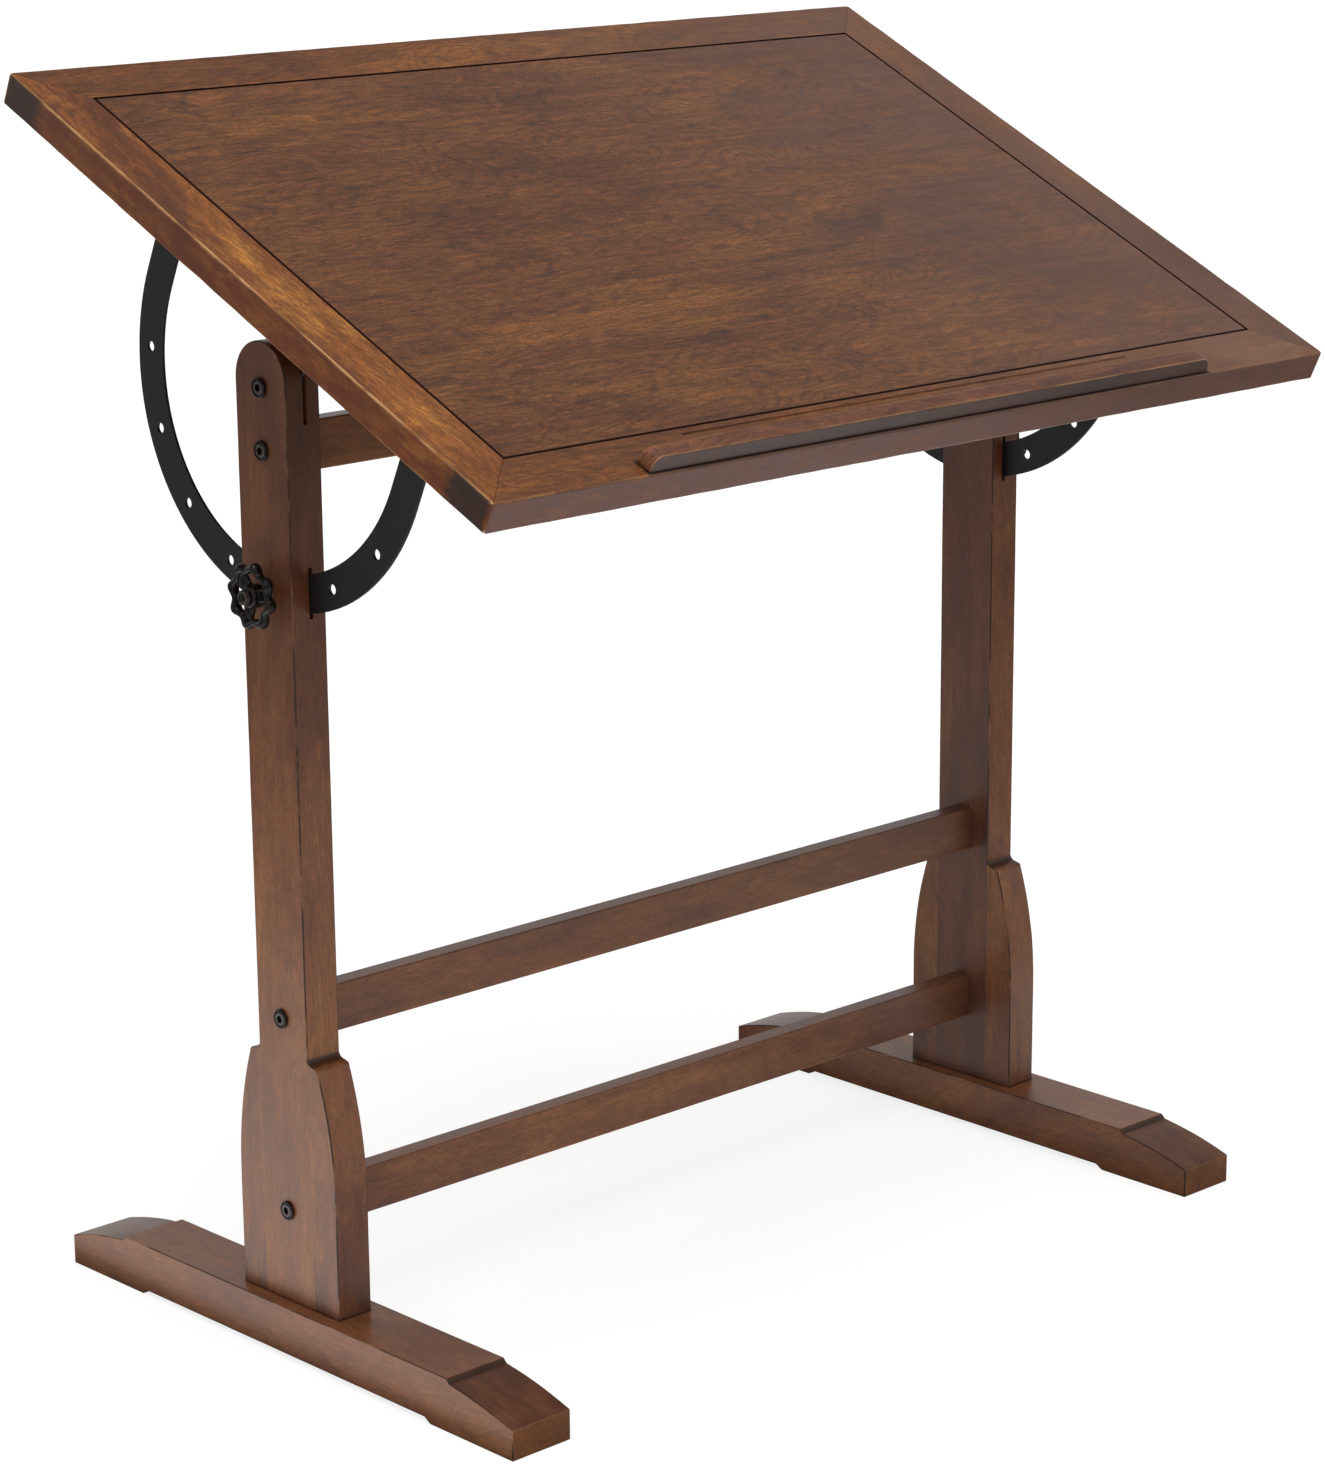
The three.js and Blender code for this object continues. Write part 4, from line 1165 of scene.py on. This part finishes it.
# middle_in is how far the rim's middle lies in from the wheel's outer end
WHEEL = {"rim": 21.3, "lobes": 8, "lobe": 1.6, "half_width": 3.4, "half_depth": 4.2, "middle_in": 5.0}
WHEEL_SWELL = {"width": 0.16, "depth": 0.14}  # how much the rim's section grows at a lobe
SPOKE = {"count": 3, "first_at": math.radians(10), "half_width": 6.4, "half_depth": 3.9, "start": 3.0}
SPOKE_SHAPE = {"waist": 0.18, "dip": 1.4, "hollow": 0.55}
CASTING = {"voxel": 0.42, "smooth": 0.5, "rounds": 5}
NUT_RADIUS = 6.2
NUT_GAP = 0.1
NUT_RINGS = ((0.9, 0.0), (1.0, 0.5))  # (share of the radius, distance from the post's end)
NUT_END_RINGS = ((1.0, 0.9), (0.94, 0.25), (0.84, 0.0))  # and from the outer end


def lock_place(side):
    """Where one post's lock is drawn: on the axis of its handwheel."""
    return side_place(side) @ Matrix.Translation((0, 0, CLAMP_HEIGHT * MM))


def stud_radius(side):
    return extents(f"{side}_clamp_screw", lock_place(side))[1].y


def wheel_rim(centre_x):
    """The wavy rim: its path and its section both swell at each lobe."""
    loops = []
    for angle in angles(0, 360, 256)[:-1]:
        swell = -math.cos(WHEEL["lobes"] * (angle - SPOKE["first_at"]))
        centre = WHEEL["rim"] + WHEEL["lobe"] * swell
        half_width = WHEEL["half_width"] * (1 + WHEEL_SWELL["width"] * swell)
        half_depth = WHEEL["half_depth"] * (1 + WHEEL_SWELL["depth"] * swell)
        section = arc((centre, centre_x), (half_width, half_depth), 0, 360, 20)[:-1]
        along = Vector((0, math.cos(angle), math.sin(angle)))
        loops.append([along * radius + Vector((x, 0, 0)) for radius, x in section])
    return skin(loops, ring=True)


def wheel_spoke(centre_x, angle):
    """A spoke that narrows in the middle, dips towards the post and is hollowed between two ribs."""
    along = Vector((0, math.cos(angle), math.sin(angle)))
    sideways = Vector((0, -math.sin(angle), math.cos(angle)))
    loops = []
    steps = 14
    for i in range(steps + 1):
        t = i / steps
        radius = SPOKE["start"] + (WHEEL["rim"] - SPOKE["start"]) * t
        waist = 1 - SPOKE_SHAPE["waist"] * math.sin(math.pi * t)
        dip = -SPOKE_SHAPE["dip"] * math.sin(math.pi * t)
        loop = []
        for turn in angles(0, 360, 24)[:-1]:
            across = SPOKE["half_width"] * waist * math.cos(turn)
            ribbed = 1 - SPOKE_SHAPE["hollow"] * math.sin(turn) ** 2
            x = centre_x + dip + SPOKE["half_depth"] * waist * ribbed * math.sin(turn)
            loop.append(Vector((x, 0, 0)) + along * radius + sideways * across)
        loops.append(loop)
    return skin(loops)


def wheel_hub(bore, inner, middle, outer):
    """The hub, from the end at the post to the outer end, a little fuller in the middle."""
    near = [(bore, inner), (8.0, inner), (9.2, inner + 1.2), (9.4, middle - 1)]
    far = [(9.2, middle + 2), (8.4, outer - 1), (7.2, outer), (bore, outer)]
    return tube(near + far, sides=48)


def merge(solids):
    """One mesh holding all the solids, still as separate shells."""
    whole = bmesh.new()
    for solid in solids:
        part = bpy.data.meshes.new("part")
        solid.to_mesh(part)
        solid.free()
        whole.from_mesh(part)
        bpy.data.meshes.remove(part)
    return whole


def build_handwheel(side):
    """The rim, hub and spokes, fused into one casting with soft fillets."""
    node = f"{side}_handwheel"
    place = lock_place(side)
    low, high = extents(node, place)
    centre_x = high.x - WHEEL["middle_in"]
    parts = [wheel_rim(centre_x), wheel_hub(stud_radius(side) + HOLE_GAP, low.x, centre_x, high.x)]
    for angle in angles(0, 360, SPOKE["count"])[:-1]:
        parts.append(wheel_spoke(centre_x, SPOKE["first_at"] + angle))
    piece = make_piece(node, merge(parts), place, BRONZE)
    piece.modifiers.clear()
    remesh = piece.modifiers.new("cast", "REMESH")
    remesh.mode = "VOXEL"
    remesh.voxel_size = CASTING["voxel"] * MM
    soften = piece.modifiers.new("soften", "SMOOTH")
    soften.factor = CASTING["smooth"]
    soften.iterations = CASTING["rounds"]
    bake_modifiers(piece)
    smooth(piece.data)


def build_wheel_nut(side):
    node = f"{side}_wheel_nut"
    place = lock_place(side)
    low, high = extents(node, place)
    rings = [(share, low.x + inset) for share, inset in NUT_RINGS]
    rings += [(share, high.x - inset) for share, inset in NUT_END_RINGS]
    loops = [around(NUT_RADIUS * share, x, "x", 6) for share, x in rings]
    bore = drill([(stud_radius(side) + NUT_GAP, low.x - PAST, high.x + PAST)], (0, 0, 0))
    make_piece(node, skin(loops), place, BRONZE, cuts=[bore])


def build_stud(side):
    """The clamp screw, with a thread that shows between the post and the wheel."""
    node = f"{side}_clamp_screw"
    place = lock_place(side)
    low, high = extents(node, place)
    radius = high.y
    pitch = THREAD["pitch"]
    profile = [(0, low.x), (radius - 1, low.x)]
    along = low.x + 1
    while along < high.x - 1:
        root = radius - THREAD["depth"]
        profile += [(root, along), (radius, along + pitch * 0.4), (radius, along + pitch * 0.6)]
        along += pitch
    profile += [(radius - 1, high.x - 0.3), (radius - 1.4, high.x), (0, high.x)]
    make_piece(node, turned(profile, sides=32), place, OXIDE)


def build_shoe(side):
    """The pressure disc, with eased rims."""
    node = f"{side}_clamp_shoe"
    place = lock_place(side)
    low, high = extents(node, place)
    radius = high.y
    near = [(0, low.x), (radius - 0.5, low.x), (radius, low.x + 0.5)]
    far = [(radius, high.x - 0.3), (radius - 0.3, high.x), (0, high.x)]
    make_piece(node, turned(near + far), place, ZINC)


# ---- stage ----

FLOOR_REACH = 40.0  # metres, as everything on the stage is
FLOOR_SHOWN = 0.82  # how brightly the camera sees the floor's own light
# how bright the sky is in reflections overhead and at the horizon, and for all other light
SKY = {"overhead": 0.08, "horizon": 1.2, "diffuse": 0.4, "steepness": -0.75}
# the direction from the table to the sun, its strength and its width in degrees
KEY_SUN = ((-0.15, -0.3, 0.94), 1.75, 50)
FILL_SUN = ((0.4, 0.5, 0.75), 0.3, 80)
# two corners of the lit patch, and its radiance
FLOOR_GLOWS = {
    "left": ((-1.2, -0.9), (-0.44, 0.8), 1.5),
    "front": ((-0.45, -1.3), (0.9, -0.42), 0.9),
    "right": ((0.5, -0.4), (1.2, 0.7), 0.8),
    "back": ((-0.45, 0.45), (0.48, 1.2), 0.6),
    "middle": ((-0.33, -0.28), (0.33, 0.32), 0.5),
}
GLOW_HEIGHT = 0.002
CAMERA = {
    "place": (-2.22786, -2.35088, 1.26935),
    "azimuth": -43.81,
    "elevation": 15.55,
    "roll": -0.30,
    "lens": 99.17,
    "shift": (-0.02854, 0.05510),
}


def build_floor():
    """A pale sheet. The camera sees it nearly white, with a faint shadow under the feet."""
    grid = bmesh.new()
    bmesh.ops.create_grid(grid, x_segments=8, y_segments=8, size=FLOOR_REACH)
    mesh = bpy.data.meshes.new("floor")
    grid.to_mesh(mesh)
    grid.free()
    floor = add_to_scene("floor", mesh)
    shader = Shader("pale_floor", "stage")
    seen = shader.node("LightPath").outputs["Is Camera Ray"]
    shader.plug(shader.surface.inputs["Emission Color"], WHITE)
    shader.plug(shader.surface.inputs["Emission Strength"], shader.times(seen, FLOOR_SHOWN))
    material = shader.finish(colour=srgb(140, 139, 137), roughness=0.95, specular=0.0)
    material.cycles.emission_sampling = "NONE"
    mesh.materials.append(material)


def build_world():
    """White for the camera; the light comes from a dim sky that is bright near the horizon in reflections."""
    world = bpy.data.worlds.new("studio")
    bpy.context.scene.world = world
    world.use_nodes = True
    world.node_tree.nodes.clear()
    sky = Nodes(world.node_tree)

    def background(strength):
        return sky.node("Background", {"Color": WHITE, "Strength": strength}).outputs[0]

    height = sky.node("SeparateXYZ", {0: sky.node("NewGeometry").outputs["Incoming"]}).outputs["Z"]
    glow = sky.range(height, SKY["steepness"], 0.0, SKY["overhead"], SKY["horizon"])
    rays = sky.node("LightPath").outputs
    for_light = {0: rays["Is Glossy Ray"], 1: background(SKY["diffuse"]), 2: background(glow)}
    lit = sky.node("MixShader", for_light).outputs[0]
    shown = sky.node("MixShader", {0: rays["Is Camera Ray"], 1: lit, 2: background(1.0)}).outputs[0]
    sky.node("OutputWorld", {"Surface": shown})


def add_sun(name, toward, strength, width):
    """A wide soft sun."""
    light = bpy.data.lights.new(name, "SUN")
    light.energy = strength
    light.angle = math.radians(width)
    lamp = add_to_scene(name, light)
    lamp.rotation_mode = "QUATERNION"
    lamp.rotation_quaternion = Vector(toward).to_track_quat("Z", "Y")
    return lamp


def add_floor_glow(name, low, high, radiance):
    """A flat light lying on the floor between two corners, shining up like a lit patch of the sheet."""
    light = bpy.data.lights.new(name, "AREA")
    light.shape = "RECTANGLE"
    light.size, light.size_y = high[0] - low[0], high[1] - low[1]
    light.energy = radiance * math.pi * light.size * light.size_y
    lamp = add_to_scene(name, light)
    lamp.location = ((low[0] + high[0]) / 2, (low[1] + high[1]) / 2, GLOW_HEIGHT)
    lamp.rotation_euler = (math.pi, 0, 0)
    lamp.visible_camera = False


def build_lights():
    add_sun("key", *KEY_SUN)
    add_sun("fill", *FILL_SUN).visible_glossy = False
    for name, patch in FLOOR_GLOWS.items():
        add_floor_glow(f"glow_{name}", *patch)


def build_camera():
    place = Matrix.Translation(CAMERA["place"])
    for axis, degrees in (("Z", CAMERA["azimuth"]), ("X", 90 - CAMERA["elevation"]), ("Z", CAMERA["roll"])):
        place = place @ Matrix.Rotation(math.radians(degrees), 4, axis)
    data = bpy.data.cameras.new("camera")
    data.lens = CAMERA["lens"]
    data.sensor_width = 36
    data.shift_x, data.shift_y = CAMERA["shift"]
    data.clip_end = 200
    camera = add_to_scene("camera", data)
    camera.matrix_world = place
    bpy.context.scene.camera = camera


# ---- assembly ----


def build_stand():
    for rail in RAILS:
        build_rail(rail)
    for side in SIDES:
        build_post(side)
        build_foot(side)
        build_wing(side, "front")
        build_wing(side, "back")
        place = side_place(side)
        for name in ("top_rail", "middle_rail", "lower_rail", "pivot"):
            build_bolt(f"{side}_{name}_bolt", place)
        build_insert(f"{side}_pivot_insert", place)
        build_insert(f"{side}_clamp_insert", place)
        for end in ENDS:
            build_screw(f"{side}_{end}_foot_screw", place)
        for rail in RAILS:
            hidden = frame["nodes"][f"{side}_{rail}_rail_insert"]
            hidden.data.materials.clear()
            hidden.data.materials.append(ZINC)


def build_table_top():
    build_panel()
    for name in BORDERS:
        build_border(name)
    build_ledge()
    for side in SIDES:
        build_arc(side)
        build_bracket(side)
        for name in ("front_arc", "back_arc", "front_bracket", "back_bracket"):
            build_screw(f"{side}_{name}_screw", TOP_PLACE)


def build_locks():
    for side in SIDES:
        build_handwheel(side)
        build_wheel_nut(side)
        build_stud(side)
        build_shoe(side)


build_stand()
build_table_top()
build_locks()
build_floor()
build_world()
build_lights()
build_camera()
bpy.context.scene.view_settings.view_transform = "Standard"
bpy.context.scene.cycles.use_denoising = True
